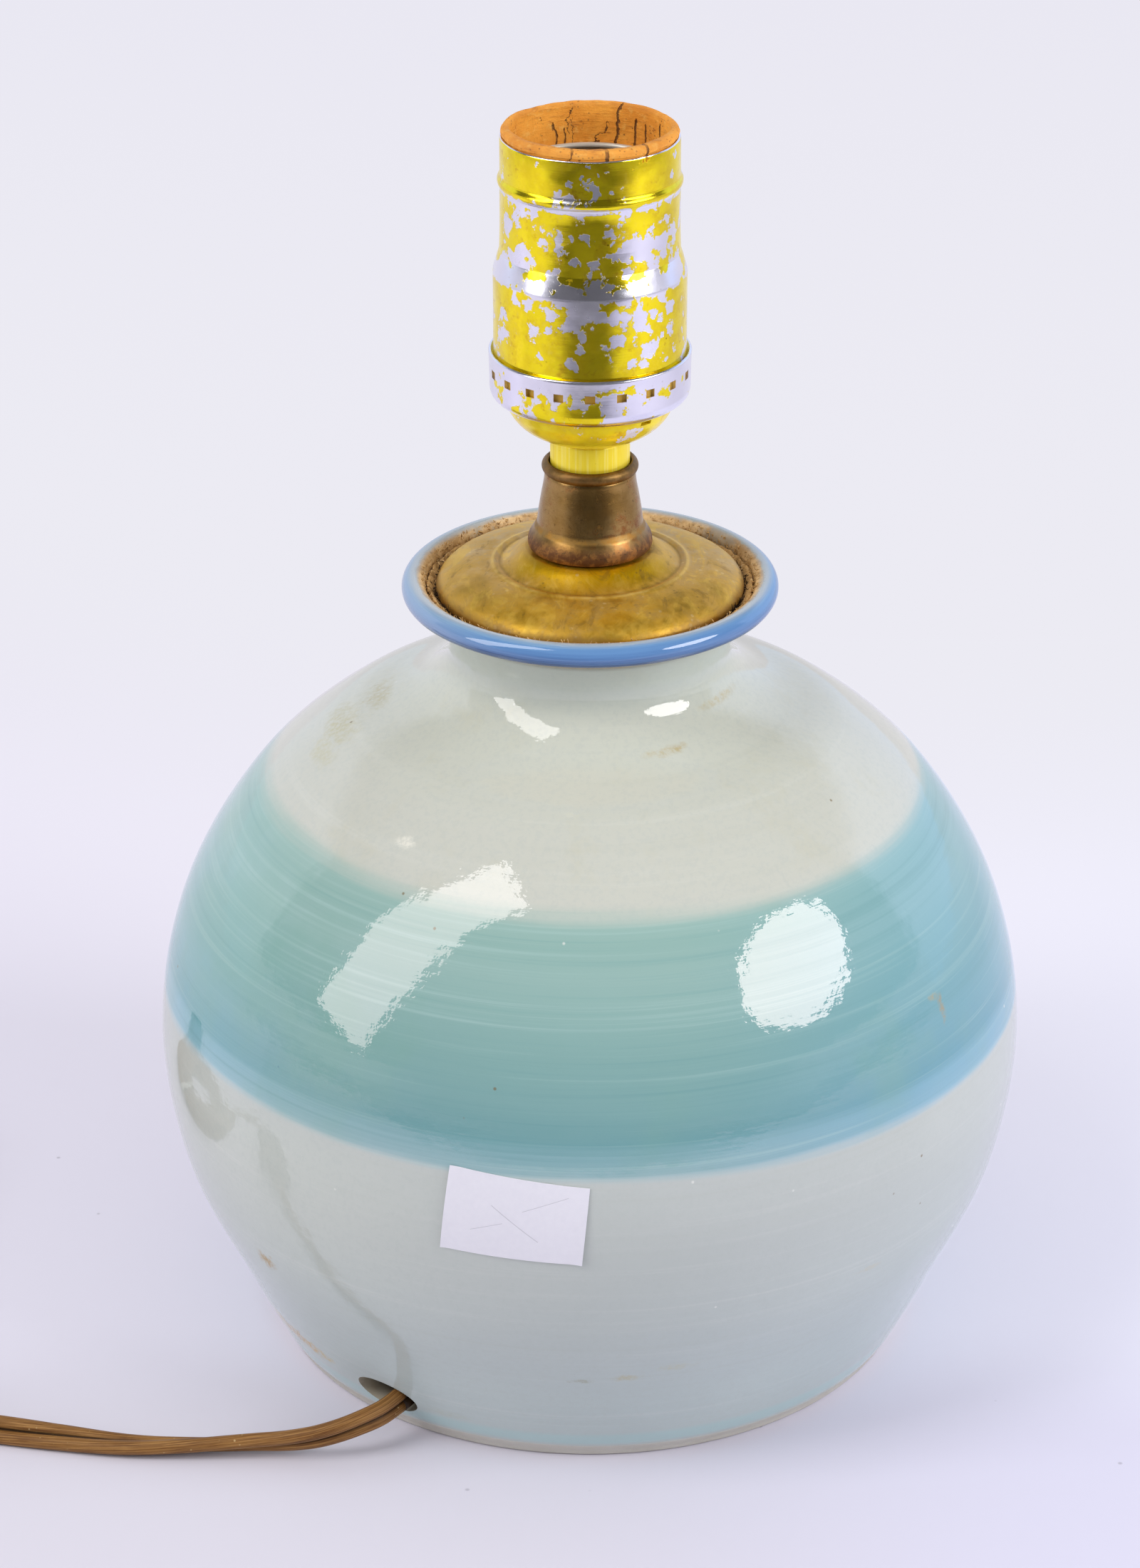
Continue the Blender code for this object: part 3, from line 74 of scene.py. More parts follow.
def arc(cr, cz, rad, first, last, pieces):
    """Points round a centre, from one angle to another, in degrees."""
    turns = [math.radians(first + (last - first) * k / pieces) for k in range(pieces + 1)]
    return [(cr + rad * math.cos(a), cz + rad * math.sin(a)) for a in turns]


def bend(start, corner, end, pieces, share=0.6):
    """The points between start and end on a curve that aims at the corner from both."""
    s, c, e = (np.array(p, dtype=float) for p in (start, corner, end))
    n, f = s + (c - s) * share, e + (c - e) * share
    ways = [k / pieces for k in range(1, pieces)]
    return [(1 - t) ** 3 * s + 3 * (1 - t) ** 2 * t * n + 3 * (1 - t) * t * t * f + t ** 3 * e for t in ways]


def distances(points):
    """How far each point lies along the line; only x, y and z count."""
    p = np.array(points, dtype=float)[:, :3]
    return np.r_[0, np.cumsum(np.linalg.norm(np.diff(p, axis=0), axis=1))]


def length_of(points):
    return float(distances(points)[-1])


def even(points, count):
    """The line cut into count equal steps."""
    p, d = np.array(points, dtype=float), distances(points)
    s = np.linspace(0, d[-1], count + 1)
    return np.stack([np.interp(s, d, p[:, k]) for k in range(p.shape[1])], 1)


def share(value, low, high):
    """How far a number is from low to high, held between 0 and 1."""
    return min(1.0, max(0.0, (value - low) / (high - low)))


def unit(v):
    return v / np.linalg.norm(v)


def new_object(name, mesh, mat=None):
    obj = bpy.data.objects.new(name, mesh)
    scene.collection.objects.link(obj)
    if mat is not None:
        mesh.materials.append(mat)
    return obj


def soften(mesh, sharp=None):
    mesh.polygons.foreach_set("use_smooth", [True] * len(mesh.polygons))
    if sharp is not None:
        mesh.set_sharp_from_angle(angle=math.radians(sharp))


def mesh_from(name, verts, faces, mat=None, sharp=None):
    mesh = bpy.data.meshes.new(name)
    mesh.from_pydata([tuple(v) for v in verts], [], faces)
    mesh.update()
    soften(mesh, sharp)
    return new_object(name, mesh, mat)


def object_from(name, shape, sharp=None):
    mesh = bpy.data.meshes.new(name)
    shape.to_mesh(mesh)
    shape.free()
    if sharp is not None:
        soften(mesh, sharp)
    return new_object(name, mesh)


def skin(rows, n, caps=True, loop=False, ring=True):
    """The faces over rows of n points; loop joins the last row to the first, caps closes both."""
    faces = []
    for i in range(rows if loop else rows - 1):
        up = (i + 1) % rows
        for j in range(n if ring else n - 1):
            k = (j + 1) % n
            faces.append((i * n + j, i * n + k, up * n + k, up * n + j))
    if caps:
        faces += [tuple(range(n))[::-1], tuple((rows - 1) * n + j for j in range(n))]
    return faces


def weld(obj, dist=1e-6, sharp=None):
    shape = bmesh.new()
    shape.from_mesh(obj.data)
    bmesh.ops.remove_doubles(shape, verts=shape.verts, dist=dist)
    bmesh.ops.recalc_face_normals(shape, faces=shape.faces)
    shape.to_mesh(obj.data)
    shape.free()
    obj.data.update()
    if sharp is not None:
        soften(obj.data, sharp)


def lathe(name, profile, segments, closed=True, sharp=35, warp=None):
    """profile: (r, z) in mm, listed down the outer side and back up the inner side."""
    prof = np.array(profile, dtype=float) * MM
    verts = []
    for j in range(segments):
        a = math.tau * j / segments
        for r, z in prof:
            if warp is not None:
                r, z = warp(r, z, a)
            verts.append((r * math.cos(a), r * math.sin(a), z))
    obj = mesh_from(name, verts, skin(segments, len(prof), caps=False, loop=True, ring=closed), sharp=sharp)
    weld(obj)
    return obj


def walled(outer, thickness, caps=5):
    """A closed profile behind an open outer one (r, z). Its edges are round and of that thickness, and its inner
    side runs straight from one edge to the other."""
    p = np.array(outer, dtype=float)
    t = np.gradient(p, axis=0)
    t /= np.linalg.norm(t, axis=1)[:, None]
    inner = p + np.stack([t[:, 1], -t[:, 0]], 1) * thickness
    out = list(p)
    for first, second, way in ((p[-1], inner[-1], t[-1]), (inner[0], p[0], -t[0])):
        mid, half = (first + second) / 2, (first - second) / 2
        turns = [math.pi * k / caps for k in range(1, caps)]
        out += [mid + half * math.cos(a) + way * np.linalg.norm(half) * math.sin(a) for a in turns]
    return out


def rod(name, start, end, radius, sides=48):
    """A cylinder between two places in mm."""
    start, end = Vector(start) * MM, Vector(end) * MM
    shape = bmesh.new()
    bmesh.ops.create_cone(shape, cap_ends=True, segments=sides, radius1=radius * MM, radius2=radius * MM,
                          depth=(end - start).length)
    turn = (end - start).to_track_quat("Z", "X").to_matrix().to_4x4()
    shape.transform(Matrix.Translation((start + end) / 2) @ turn)
    return object_from(name, shape, sharp=40)


def box_mesh(name, low, high):
    low, high = Vector(low) * MM, Vector(high) * MM
    shape = bmesh.new()
    bmesh.ops.create_cube(shape, size=1.0)
    shape.transform(Matrix.Translation((low + high) / 2) @ Matrix.Diagonal((*(high - low), 1.0)))
    return object_from(name, shape)


def move(obj, place, turn=0.0, axis="Z"):
    """Turns a mesh by degrees about an axis through the origin, then moves it by millimetres."""
    obj.data.transform(Matrix.Translation(Vector(place) * MM) @ Matrix.Rotation(math.radians(turn), 4, axis))


def cut(obj, cutters, operation="DIFFERENCE", sharp=35):
    """Cuts a piece with other meshes, which are used up."""
    for cutter in cutters:
        mod = obj.modifiers.new("cut", "BOOLEAN")
        mod.operation, mod.object, mod.solver = operation, cutter, "EXACT"
    bpy.context.view_layer.update()
    done = bpy.data.meshes.new_from_object(obj.evaluated_get(bpy.context.evaluated_depsgraph_get()))
    old = obj.data
    obj.modifiers.clear()
    obj.data = done
    bpy.data.meshes.remove(old)
    for cutter in cutters:
        bpy.data.objects.remove(cutter)
    weld(obj, 1e-7, sharp)
    return obj


def join(objs, name):
    shape = bmesh.new()
    for o in objs:
        shape.from_mesh(o.data)
        bpy.data.objects.remove(o)
    return object_from(name, shape)


def fit(obj, mats, slot, *nodes, body="lamp"):
    """Dresses a piece and hands it over: what it replaces and which body it rides. Its slot is not used."""
    for mat in mats:
        obj.data.materials.append(mat)
    if nodes:
        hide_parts(*nodes)
    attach(obj, body)


def repaint(mat, *nodes):
    """Gives CAD nodes that keep their shape a material."""
    for node in nodes:
        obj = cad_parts[node]
        obj.data.materials.clear()
        obj.data.materials.append(mat)


# ---- helpers: materials
def srgb(*c):
    return tuple(((x / 255 + 0.055) / 1.055) ** 2.4 if x > 10.3 else x / 255 / 12.92 for x in c) + (1.0,)


class Num:
    """What a node gives, so that sums of such numbers can be written as sums."""

    def __init__(self, m, socket):
        self.m, self.socket = m, socket

    def __add__(self, other):
        return self.m.math("ADD", self, other)

    def __sub__(self, other):
        return self.m.math("SUBTRACT", self, other)

    def __rsub__(self, other):
        return self.m.math("SUBTRACT", other, self)

    def __mul__(self, other):
        return self.m.math("MULTIPLY", self, other)

    def __truediv__(self, other):
        return self.m.math("DIVIDE", self, other)

    def __gt__(self, other):
        return self.m.math("GREATER_THAN", self, other)

    def __lt__(self, other):
        return self.m.math("LESS_THAN", self, other)

    def __abs__(self):
        return self.m.math("ABSOLUTE", self)


class Nodes:
    """A short way to write a node tree. Colours are 0 to 255, or four numbers as Blender keeps them."""

    def __init__(self, tree):
        self.tree = tree
        self._coord = None

    def put(self, socket, value):
        if isinstance(value, Num):
            self.tree.links.new(value.socket, socket)
        elif value is not None:
            socket.default_value = srgb(*value) if socket.type == "RGBA" and len(value) == 3 else value

    def node(self, kind, *values, out=0, **props):
        """A node with its first inputs filled in order, and one of its outputs."""
        made = self.tree.nodes.new(kind)
        for key, value in props.items():
            setattr(made, key, value)
        for socket, value in zip(made.inputs, values):
            self.put(socket, value)
        return Num(self, made.outputs[out])

    def named(self, kind, out, **sockets):
        """A node with its inputs filled by name, and one of its outputs."""
        made = self.node(kind, out=out)
        for key, value in sockets.items():
            self.put(made.socket.node.inputs[key], value)
        return made

    @property
    def coord(self):
        if self._coord is None:
            self._coord = self.node("ShaderNodeTexCoord", out="Object")
        return self._coord

    def uv(self):
        return self.node("ShaderNodeTexCoord", out="UV")

    def xyz(self, vector=None):
        node = self.node("ShaderNodeSeparateXYZ", vector or self.coord).socket.node
        return [Num(self, out) for out in node.outputs]

    def math(self, op, *values, clamp=False):
        return self.node("ShaderNodeMath", *values, operation=op, use_clamp=clamp)

    def max(self, a, b):
        return self.math("MAXIMUM", a, b)

    def hypot(self, x, y):
        return self.math("SQRT", self.math("POWER", x, 2.0) + self.math("POWER", y, 2.0))

    def vec(self, op, *values, out="Vector"):
        return self.node("ShaderNodeVectorMath", *values, out=out, operation=op)

    def noise(self, scale, detail=4.0, rough=0.5, vector=None, distortion=0.0, out="Fac"):
        return self.named("ShaderNodeTexNoise", out, Vector=vector or self.coord, Scale=scale, Detail=detail,
                          Roughness=rough, Distortion=distortion)

    def streaks(self, scale, detail, rough, vector=None, distortion=0.0):
        """Noise that is drawn out: scale has a number for each axis."""
        drawn = self.named("ShaderNodeMapping", "Vector", Vector=vector or self.coord, Scale=scale)
        return self.noise(1.0, detail, rough, drawn, distortion)

    def cells(self, scale, vector=None):
        """The distance to the nearest of scattered points."""
        return self.named("ShaderNodeTexVoronoi", "Distance", Vector=vector or self.coord, Scale=scale)

    def dots(self, scale, far, near, patch, low, high, vector=None):
        """Small dots, in those places only where a noise of the size patch is high."""
        where = self.step(self.noise(patch, 3, 0.6, vector), low, high)
        return self.step(self.cells(scale, vector), far, near) * where

    def specks(self, scale, keep, far, near):
        """Lone specks: keep is the share of the points that have none."""
        cell = self.cells(scale)
        chosen = self.xyz(Num(self, cell.socket.node.outputs["Color"]))[0] > keep
        return chosen * self.step(cell, far, near)

    def patch(self, scale, detail, rough, low, high, top=1.0, bottom=0.0):
        """Patches of noise, with edges as soft as low and high are apart."""
        return self.step(self.noise(scale, detail, rough), low, high, top, bottom)

    def step(self, value, low, high, top=1.0, bottom=0.0):
        """Goes softly from bottom to top while value goes from low to high."""
        return self.node("ShaderNodeMapRange", value, low, high, bottom, top, interpolation_type="SMOOTHSTEP")

    def ramp(self, value, stops):
        made = self.node("ShaderNodeValToRGB", value)
        elements = made.socket.node.color_ramp.elements
        while len(elements) < len(stops):
            elements.new(0.5)
        for element, (place, color) in zip(elements, stops):
            element.position = place
            element.color = srgb(*color)
        return made

    def mix(self, fac, a, b, blend="MIX"):
        made = self.node("ShaderNodeMix", fac, out=2, data_type="RGBA", blend_type=blend)
        self.put(made.socket.node.inputs[6], a)
        self.put(made.socket.node.inputs[7], b)
        return made

    def lerp(self, fac, a, b):
        made = self.node("ShaderNodeMix", fac, data_type="FLOAT")
        self.put(made.socket.node.inputs[2], a)
        self.put(made.socket.node.inputs[3], b)
        return made

    def bump(self, height, strength, distance, normal=None):
        return self.named("ShaderNodeBump", "Normal", Strength=strength, Distance=distance, Height=height,
                          Normal=normal)

    def blend(self, fac, a, b):
        return self.node("ShaderNodeMixShader", fac, a, b)


class Mat(Nodes):
    def __init__(self, name, **principled):
        self.mat = bpy.data.materials.new(name)
        self.mat.use_nodes = True
        super().__init__(self.mat.node_tree)
        self.shader = self.tree.nodes["Principled BSDF"]
        self.set(**principled)

    def set(self, **sockets):
        for key, value in sockets.items():
            self.put(self.shader.inputs[key.replace("_", " ")], value)
        return self.mat


# ---- pot
# radii and levels in mm
FOOT_R, BELLY_R, BELLY_Z, SHOULDER_R, SHOULDER_Z, WAIST_R, WAIST_Z = 58.5, 78.3, 61.2, 35.6, 122.4, 24.9, 132.9
LIP_R, LIP_Z, LIP_ROUND = 31.1, 144.0, 2.1
WALL, FLOOR_LOW, FLOOR_TOP, PIPE_HOLE, THROAT_R = 5.5, 23.0, 29.0, 5.6, 19.4
HOLE_AT, HOLE_Z, HOLE_WIDE, HOLE_TALL = -35.7, 7.9, 13.0, 7.2
belly = [(FOOT_R, 0.9)]
belly += [(FOOT_R + (BELLY_R - FOOT_R) * swell, BELLY_Z * rise)
          for rise, swell in ((0.08, 0.12), (0.29, 0.425), (0.62, 0.855))]
belly.append((BELLY_R, BELLY_Z))
belly += [(SHOULDER_R + (BELLY_R - SHOULDER_R) * swell, BELLY_Z + (SHOULDER_Z - BELLY_Z) * rise)
          for rise, swell in ((0.38, 0.885), (0.71, 0.61), (0.92, 0.275))]
belly.append((SHOULDER_R, SHOULDER_Z))
belly_fine = np.array(smooth_line(belly, 14))


def pot_r(z):
    """The pot's radius at a level, in mm."""
    return float(np.interp(z, belly_fine[:, 1], belly_fine[:, 0]))


waist = (WAIST_R, WAIST_Z)
outline = arc(LIP_R, LIP_Z, LIP_ROUND, 180, -90, 30)
outline += bend(outline[-1], (WAIST_R, LIP_Z - LIP_ROUND), waist, 16)
outline += [waist] + bend(waist, (WAIST_R, SHOULDER_Z + 4.494), belly_fine[-1], 22)
outline += list(belly_fine[::-1][:-1])
outline += bend((FOOT_R, 0.95), (FOOT_R, 0.0), (57.5, 0.0), 6) + [(57.5, 0.0), (53.2, 0.0)]
outline += bend((53.2, 0.0), (52.0, 0.0), (52.3, 1.6), 5) + [(52.3, 1.6), (54.5, 12.0), (56.5, 21.0)]
outline += bend((56.5, 21.0), (57.0, FLOOR_LOW), (54.5, FLOOR_LOW), 6)
outline += [(r, FLOOR_LOW) for r in (54.5, 40.0, 20.0, PIPE_HOLE)]
outline += [(r, FLOOR_TOP) for r in (PIPE_HOLE, 30.0, 58.0)]
way_up = np.gradient(belly_fine, axis=0)
way_up /= np.linalg.norm(way_up, axis=1)[:, None]
inner = belly_fine + np.stack([-way_up[:, 1], way_up[:, 0]], 1) * WALL
inner = inner[(inner[:, 1] > 33.0) & (inner[:, 0] > 33)]
outline += list(inner[::2])
outline += bend(inner[-1], (THROAT_R, 121.4), (THROAT_R, 131.0), 8) + [(THROAT_R, 131.0)]
outline += [(20.0, 132.4), (24.0, 136.9), (28.4, 142.6)]


def wobble(a, z, fine, tall, offset=(0, 0, 0)):
    """Noise over a round surface: fine counts the waves round it, tall those up it."""
    return noise.noise(Vector((math.cos(a) * fine, math.sin(a) * fine, z * tall)) + Vector(offset))


def pot_warp(r, z, a):
    """A hand-thrown pot is never quite round: a few hundredths of a millimetre, and faint rings."""
    if r < 0.03 or z < 0.004 or z > 0.135:
        return r, z
    soft = share(z, 0.004, 0.014) * share(-z, -0.135, -0.125)
    return r + soft * 0.00018 * wobble(a, z, 1.3, 14), z


pot = lathe("thrown_pot", outline, 320, warp=pot_warp, sharp=50)
hole = rod("hole_tool", (0, -46, 0), (0, -75, 0), HOLE_WIDE / 2, sides=72)
hole.data.transform(Matrix.Diagonal((1.0, 1.0, HOLE_TALL / HOLE_WIDE, 1.0)))
move(hole, (0, 0, HOLE_Z), HOLE_AT)
cut(pot, [hole], sharp=50)

# stains: angle from the front, level, half width and half height in mm, colour, strength
STAINS = (
    (58, 128.4, 8, 0.9, (182, 164, 104), 0.5), (24, 124.6, 5, 0.7, (180, 160, 98), 0.45),
    (29, 124.9, 3, 0.6, (176, 152, 90), 0.5), (-84, 119, 11, 2.2, (176, 166, 104), 0.46),
    (-93, 121.6, 9, 1.2, (166, 152, 88), 0.46), (-76, 116.5, 8, 1.8, (182, 174, 118), 0.36),
    (-37.2, 113.8, 3, 1, (232, 230, 218), 0.75), (-1.3, 22.6, 3.2, 0.8, (150, 150, 128), 0.6),
    (5.3, 23.4, 3.6, 1.2, (180, 170, 128), 0.55), (12.3, 25.5, 5, 1.2, (184, 180, 146), 0.4),
    (-50.7, 33.6, 3.2, 2.4, (164, 132, 54), 0.9), (-49, 35.6, 0.7, 0.6, (170, 140, 80), 0.6),
    (-61, 11.2, 4.8, 2.6, (196, 156, 60), 1), (-56.5, 11, 5, 2.6, (182, 140, 42), 1),
    (-52, 10.4, 4.2, 2.2, (188, 150, 56), 1), (-48.5, 10.2, 2.8, 1.5, (196, 170, 86), 0.8),
    (60.8, 20.6, 1.2, 0.6, (150, 140, 110), 0.6), (55.4, 82, 1.3, 3.4, (164, 146, 108), 0.75),
    (54.2, 84.6, 2.2, 0.9, (176, 160, 118), 0.6), (40.2, 38.7, 4, 0.7, (190, 184, 160), 0.4),
    (-24, 8, 6, 1.4, (176, 182, 160), 0.35),
)


def glaze_ground(m, x, z, cloud, streak_fine, streak_wide):
    """The pale glaze outside the band and the lip."""
    pale = m.mix(cloud, (188, 194, 190), (180, 187, 183))
    upper = m.mix(cloud, (200, 202, 193), (192, 194, 183))
    # the glaze below the band is painted darker than above it, as shade on the pot's lower side; just under the neck
    # the shoulder is painted a little lighter, as light
    base = m.mix(m.step(z, 0.085, 0.112), pale, upper)
    base = m.mix(m.step(z, 0.116, 0.127, 0.9), base, m.mix(cloud, (203, 207, 195), (195, 199, 187)))
    # low on the pot the left side is painted lighter, as light, and the middle and right darker, as shade
    base = m.mix(m.step(x, -0.012, -0.050) * m.step(z, 0.075, 0.060), base, (1.09, 1.08, 1.05, 1), "MULTIPLY")
    base = m.mix(m.step(x, -0.012, 0.010, 0.7) * m.step(z, 0.062, 0.050), base, (0.955, 0.965, 0.97, 1), "MULTIPLY")
    # the pot gets greyer and greener towards the foot
    base = m.mix(m.step(z, 0.058, 0.010), base, m.mix(cloud, (185, 197, 194), (175, 188, 187)))
    faint = streak_wide * 0.6 + streak_fine * 0.6 - 0.6
    base = m.mix(m.step(faint, 0.02, 0.30, 0.22), base, (222, 224, 218))
    base = m.mix(m.step(faint, -0.02, -0.30, 0.18), base, (172, 176, 160))
    warm = m.patch(70, 5, 0.66, 0.54, 0.72, 0.22)
    base = m.mix(warm * m.step(z, 0.10, 0.115), base, (188, 184, 154))
    # a fine grain, and a greener neck under the lip, painted darker there as the lip's shade
    base = m.mix(m.patch(900, 4, 0.7, 0.46, 0.64, 0.22), base, (176, 184, 180))
    return m.mix(m.step(z, 0.1275, 0.1345, 0.55), base, (172, 184, 176))


def glaze_band(m, x, y, level, cloud, streak_fine, streak_wide):
    """The turquoise band. Its tones change with the level, which already wanders with the streaks."""
    up_band = m.math("DIVIDE", level - 0.060, 0.060, clamp=True)
    tone = m.ramp(up_band, [
        (0.00, (184, 200, 202)), (0.12, (168, 192, 196)), (0.155, (138, 173, 178)),
        (0.20, (131, 170, 176)), (0.235, (111, 157, 161)), (0.275, (116, 159, 161)),
        (0.33, (124, 164, 164)), (0.45, (129, 167, 164)), (0.57, (138, 173, 168)),
        (0.66, (146, 178, 172)), (0.73, (142, 176, 169)), (0.84, (155, 184, 176))])
    # the turquoise is painted bluer round the sides and towards the back, as a bluish sheen
    tone = m.mix(m.step(x, 0.012, 0.070), tone, (0.80, 0.97, 1.16, 1), "MULTIPLY")
    tone = m.mix(m.step(x, -0.045, -0.078), tone, (1.02, 1.12, 1.23, 1), "MULTIPLY")
    tone = m.mix(m.step(y, -0.02, 0.05), tone, (0.96, 1.0, 1.06, 1), "MULTIPLY")
    light = streak_fine * 1.15 + streak_wide * 0.65 - 0.90
    tone = m.mix(m.step(light, 0.02, 0.34, 0.34), tone, (174, 203, 200))
    tone = m.mix(m.step(light, -0.02, -0.34, 0.32), tone, (100, 150, 152))
    return m.mix(m.step(cloud, 0.50, 0.66, 0.30), tone, (124, 168, 152))


def glaze_lip(m, x, y, z, radius):
    """The periwinkle lip, painted paler on its crest as light and dark underneath as shade: its colour, and where it
    is.
    """
    lip_cloud = m.streaks((26, 26, 900), 4, 0.6)
    lip_line = m.streaks((34, 34, 3400), 4, 0.7) * 0.50 - 0.25
    lip = m.ramp(lip_line + lip_cloud * 0.30 + (z - 0.1421) / 0.0056, [
        (0.0, (34, 56, 98)), (0.26, (48, 76, 124)), (0.40, (78, 114, 164)), (0.58, (92, 132, 182)),
        (0.80, (100, 142, 190)), (0.95, (124, 164, 198))])
    lip = m.mix(m.step(y, 0.006, 0.030, 0.5), lip, (132, 160, 176))
    lip = m.mix(m.step(x, -0.014, -0.034, 0.45), lip, (166, 180, 196))
    # dust lies on the inner side of the lip
    settled = m.step(lip_cloud * 0.0016 + radius, 0.0333, 0.0318) * m.step(z, 0.1440, 0.1452)
    lip = m.mix(settled * 0.75, lip, (178, 182, 182))
    lip_in = m.step(lip_cloud * 0.0022 + radius, 0.0306, 0.0322)
    lip_low = m.step(z, 0.1417, 0.1423)
    return lip, lip_in * lip_low


def glaze_throat(m, z, radius):
    """The tan, dusty inner side of the lip: its colour, and where it is."""
    tan_noise = m.noise(360, 5, 0.7)
    tan = m.mix(m.step(tan_noise, 0.38, 0.62), (232, 196, 140), (196, 156, 98))
    tan = m.mix(m.patch(900, 4, 0.7, 0.55, 0.68, 0.7), tan, (142, 106, 56))
    tan = m.mix(m.patch(140, 4, 0.6, 0.54, 0.66, 0.6), tan, (168, 168, 160))
    # inside the cap's edge the tan is painted dark brown, as the cap's shade
    inside = m.mix(m.step(tan_noise * 0.0012 + radius, 0.0268, 0.0280), (70, 50, 28), tan)
    ragged_in = m.noise(420, 5, 0.7) * 0.0020 + radius - 0.0010
    return inside, m.step(z, 0.1385, 0.1405) * m.step(ragged_in, 0.0309, 0.0303)


def glaze_stains(m, x, y, z, color):
    """Smudges, fired-in stains and the yellow streak near the foot."""
    broken = m.patch(1000, 5, 0.72, 0.38, 0.60, 1.0, 0.25)
    ragged = m.noise(520, 5, 0.7) * 1.5 - 0.75
    for angle, lev, wide, tall, tone, much in STAINS:
        near = (pot_r(lev) if lev < 122 else 27.0) * MM
        a = math.radians(angle)
        along = x * (math.cos(a) / (wide * MM)) + y * (math.sin(a) / (wide * MM))
        out = x * math.sin(a) + y * -math.cos(a)
        above = (z - lev * MM) / (tall * MM)
        spot = m.step(m.hypot(along, above) + ragged, 0.95, 0.25) * broken * (out > near * 0.5)
        color = m.mix(spot * much, color, tone)
    return color


def glaze():
    m = Mat("thrown_glaze", Roughness=0.06, IOR=1.62)
    x, y, z = m.xyz()
    # brushed streaks run round the pot and wander a little
    streak_fine = m.streaks((7, 7, 1300), 5, 0.66)
    streak_wide = m.streaks((10, 10, 420), 4, 0.58)
    streak_soft = m.streaks((16, 16, 130), 3, 0.5)
    cloud = m.noise(28, 4, 0.55)
    fine_cloud = m.noise(160, 3, 0.6)
    radius = m.hypot(x, y)
    tilt = x * 0.011 + z
    wander = streak_soft * 0.0022 - 0.0011
    edge = streak_wide * 0.0030 - 0.0015
    level = tilt + wander + edge
    band = glaze_band(m, x, y, level, cloud, streak_fine, streak_wide)
    low = m.step(level, 0.0668, 0.0692)
    high = m.step(level, 0.1098, 0.1062)
    in_band = low * high
    color = m.mix(in_band, glaze_ground(m, x, z, cloud, streak_fine, streak_wide), band)
    throat, in_mask = glaze_throat(m, z, radius)
    lip, lip_mask = glaze_lip(m, x, y, z, radius)
    color = m.mix(in_mask, color, throat)
    color = m.mix(lip_mask, color, lip)
    color = glaze_stains(m, x, y, z, color)
    # iron and cobalt specks
    for scale, tone, keep, dot, much in ((150, (34, 66, 128), 0.93, 0.032, 0.95),
                                         (190, (120, 98, 56), 0.93, 0.038, 0.7),
                                         (120, (84, 74, 62), 0.975, 0.028, 0.8),
                                         (230, (226, 228, 222), 0.95, 0.045, 0.6)):
        color = m.mix(m.specks(scale, keep, dot * 2.0, dot * 0.8) * much, color, tone)
    # foot: a turquoise line, then bare clay
    foot_line = m.step(wander * 0.6 + z, 0.0033, 0.0042) * m.step(z, 0.0074, 0.0056)
    color = m.mix(foot_line * 0.55, color, (164, 200, 200))
    bare = m.step(wander * 0.5 + z, 0.0034, 0.0027)
    clay = m.mix(fine_cloud, (206, 204, 196), (184, 180, 168))
    color = m.mix(bare, color, clay)
    inner_face = m.step(radius, 0.0577, 0.0572) * m.step(z, 0.0275, 0.0245)
    color = m.mix(inner_face, color, clay)
    rough = m.lerp(m.max(bare, inner_face), fine_cloud * 0.04 + 0.02, 0.75)
    rough = m.lerp(in_mask, rough, 0.7)
    # the waves of the glaze are damped where the surface is seen at a flat angle
    facing = m.node("ShaderNodeLayerWeight", 0.5, out="Facing")
    damp = m.step(facing, 0.86, 0.55) * (1.0 - lip_mask * 0.8)
    height = streak_wide * 0.45 + streak_soft
    first = m.bump(height, damp * 0.5, 0.00018)
    peel = m.noise(330, 3, 0.6) * 0.30 + m.noise(85, 3, 0.55)
    normal = m.bump(peel, damp * 0.55, 0.00030, first)
    grain = m.bump(m.max(bare, inner_face) * m.noise(1600, 3, 0.7), 0.5, 0.0002, normal)
    # over the turquoise the reflection of the lamps is nearly white, so it is warmer than the glaze
    return m.set(Base_Color=color, Roughness=rough, Normal=grain,
                 Specular_Tint=m.mix(in_band, (1, 0.96, 0.95, 1), (1, 0.80, 0.78, 1)))


def hole_clay():
    m = Mat("hole_wall_painted_shade", Roughness=0.8)
    a = m.noise(500, 4, 0.6)
    x, y, _ = m.xyz()
    radius = m.hypot(x, y)
    # the clay is pale near the pot's outside and painted dark deeper in the hole, as shade
    near_out = m.step(a * 0.0012 + radius, 0.0545, 0.0612)
    color = m.mix(near_out, m.mix(a, (92, 76, 52), (56, 46, 34)), m.mix(a, (226, 222, 208), (196, 186, 160)))
    return m.set(Base_Color=color, Normal=m.bump(a, 0.5, 0.0002))


fit(pot, [glaze(), hole_clay()], "glaze", "pot_body")
hole_way = Vector((math.sin(math.radians(HOLE_AT)), -math.cos(math.radians(HOLE_AT)), 0))
for p in pot.data.polygons:
    c = p.center / MM - Vector((0, 0, HOLE_Z))
    side = c - hole_way * c.dot(hole_way)
    oval = math.hypot(math.hypot(side.x, side.y) / (HOLE_WIDE / 2), side.z / (HOLE_TALL / 2))
    if c.dot(hole_way) > 45 and abs(oval - 1) < 0.06 and abs(p.normal.dot(hole_way)) < 0.5:
        p.material_index = 1


# ---- metals
def metal(name, tones, rough):
    """Plain turned metal in three tones, with a faint grain round it."""
    m = Mat(name, Metallic=1.0)
    a = m.noise(60, 6, 0.62)
    b = m.noise(300, 5, 0.65)
    color = m.mix(m.step(b * 0.5 + a * 0.8, 0.45, 0.85), tones[0], tones[1])
    color = m.mix(m.step(m.noise(132, 6, 0.7), 0.52, 0.66), color, tones[2])
    height = b * 0.6 + m.streaks((60, 60, 2600), 4, 0.6)
    return m.set(Base_Color=color, Roughness=b * 0.22 + (rough - 0.11), Normal=m.bump(height, 0.25, 0.00006))


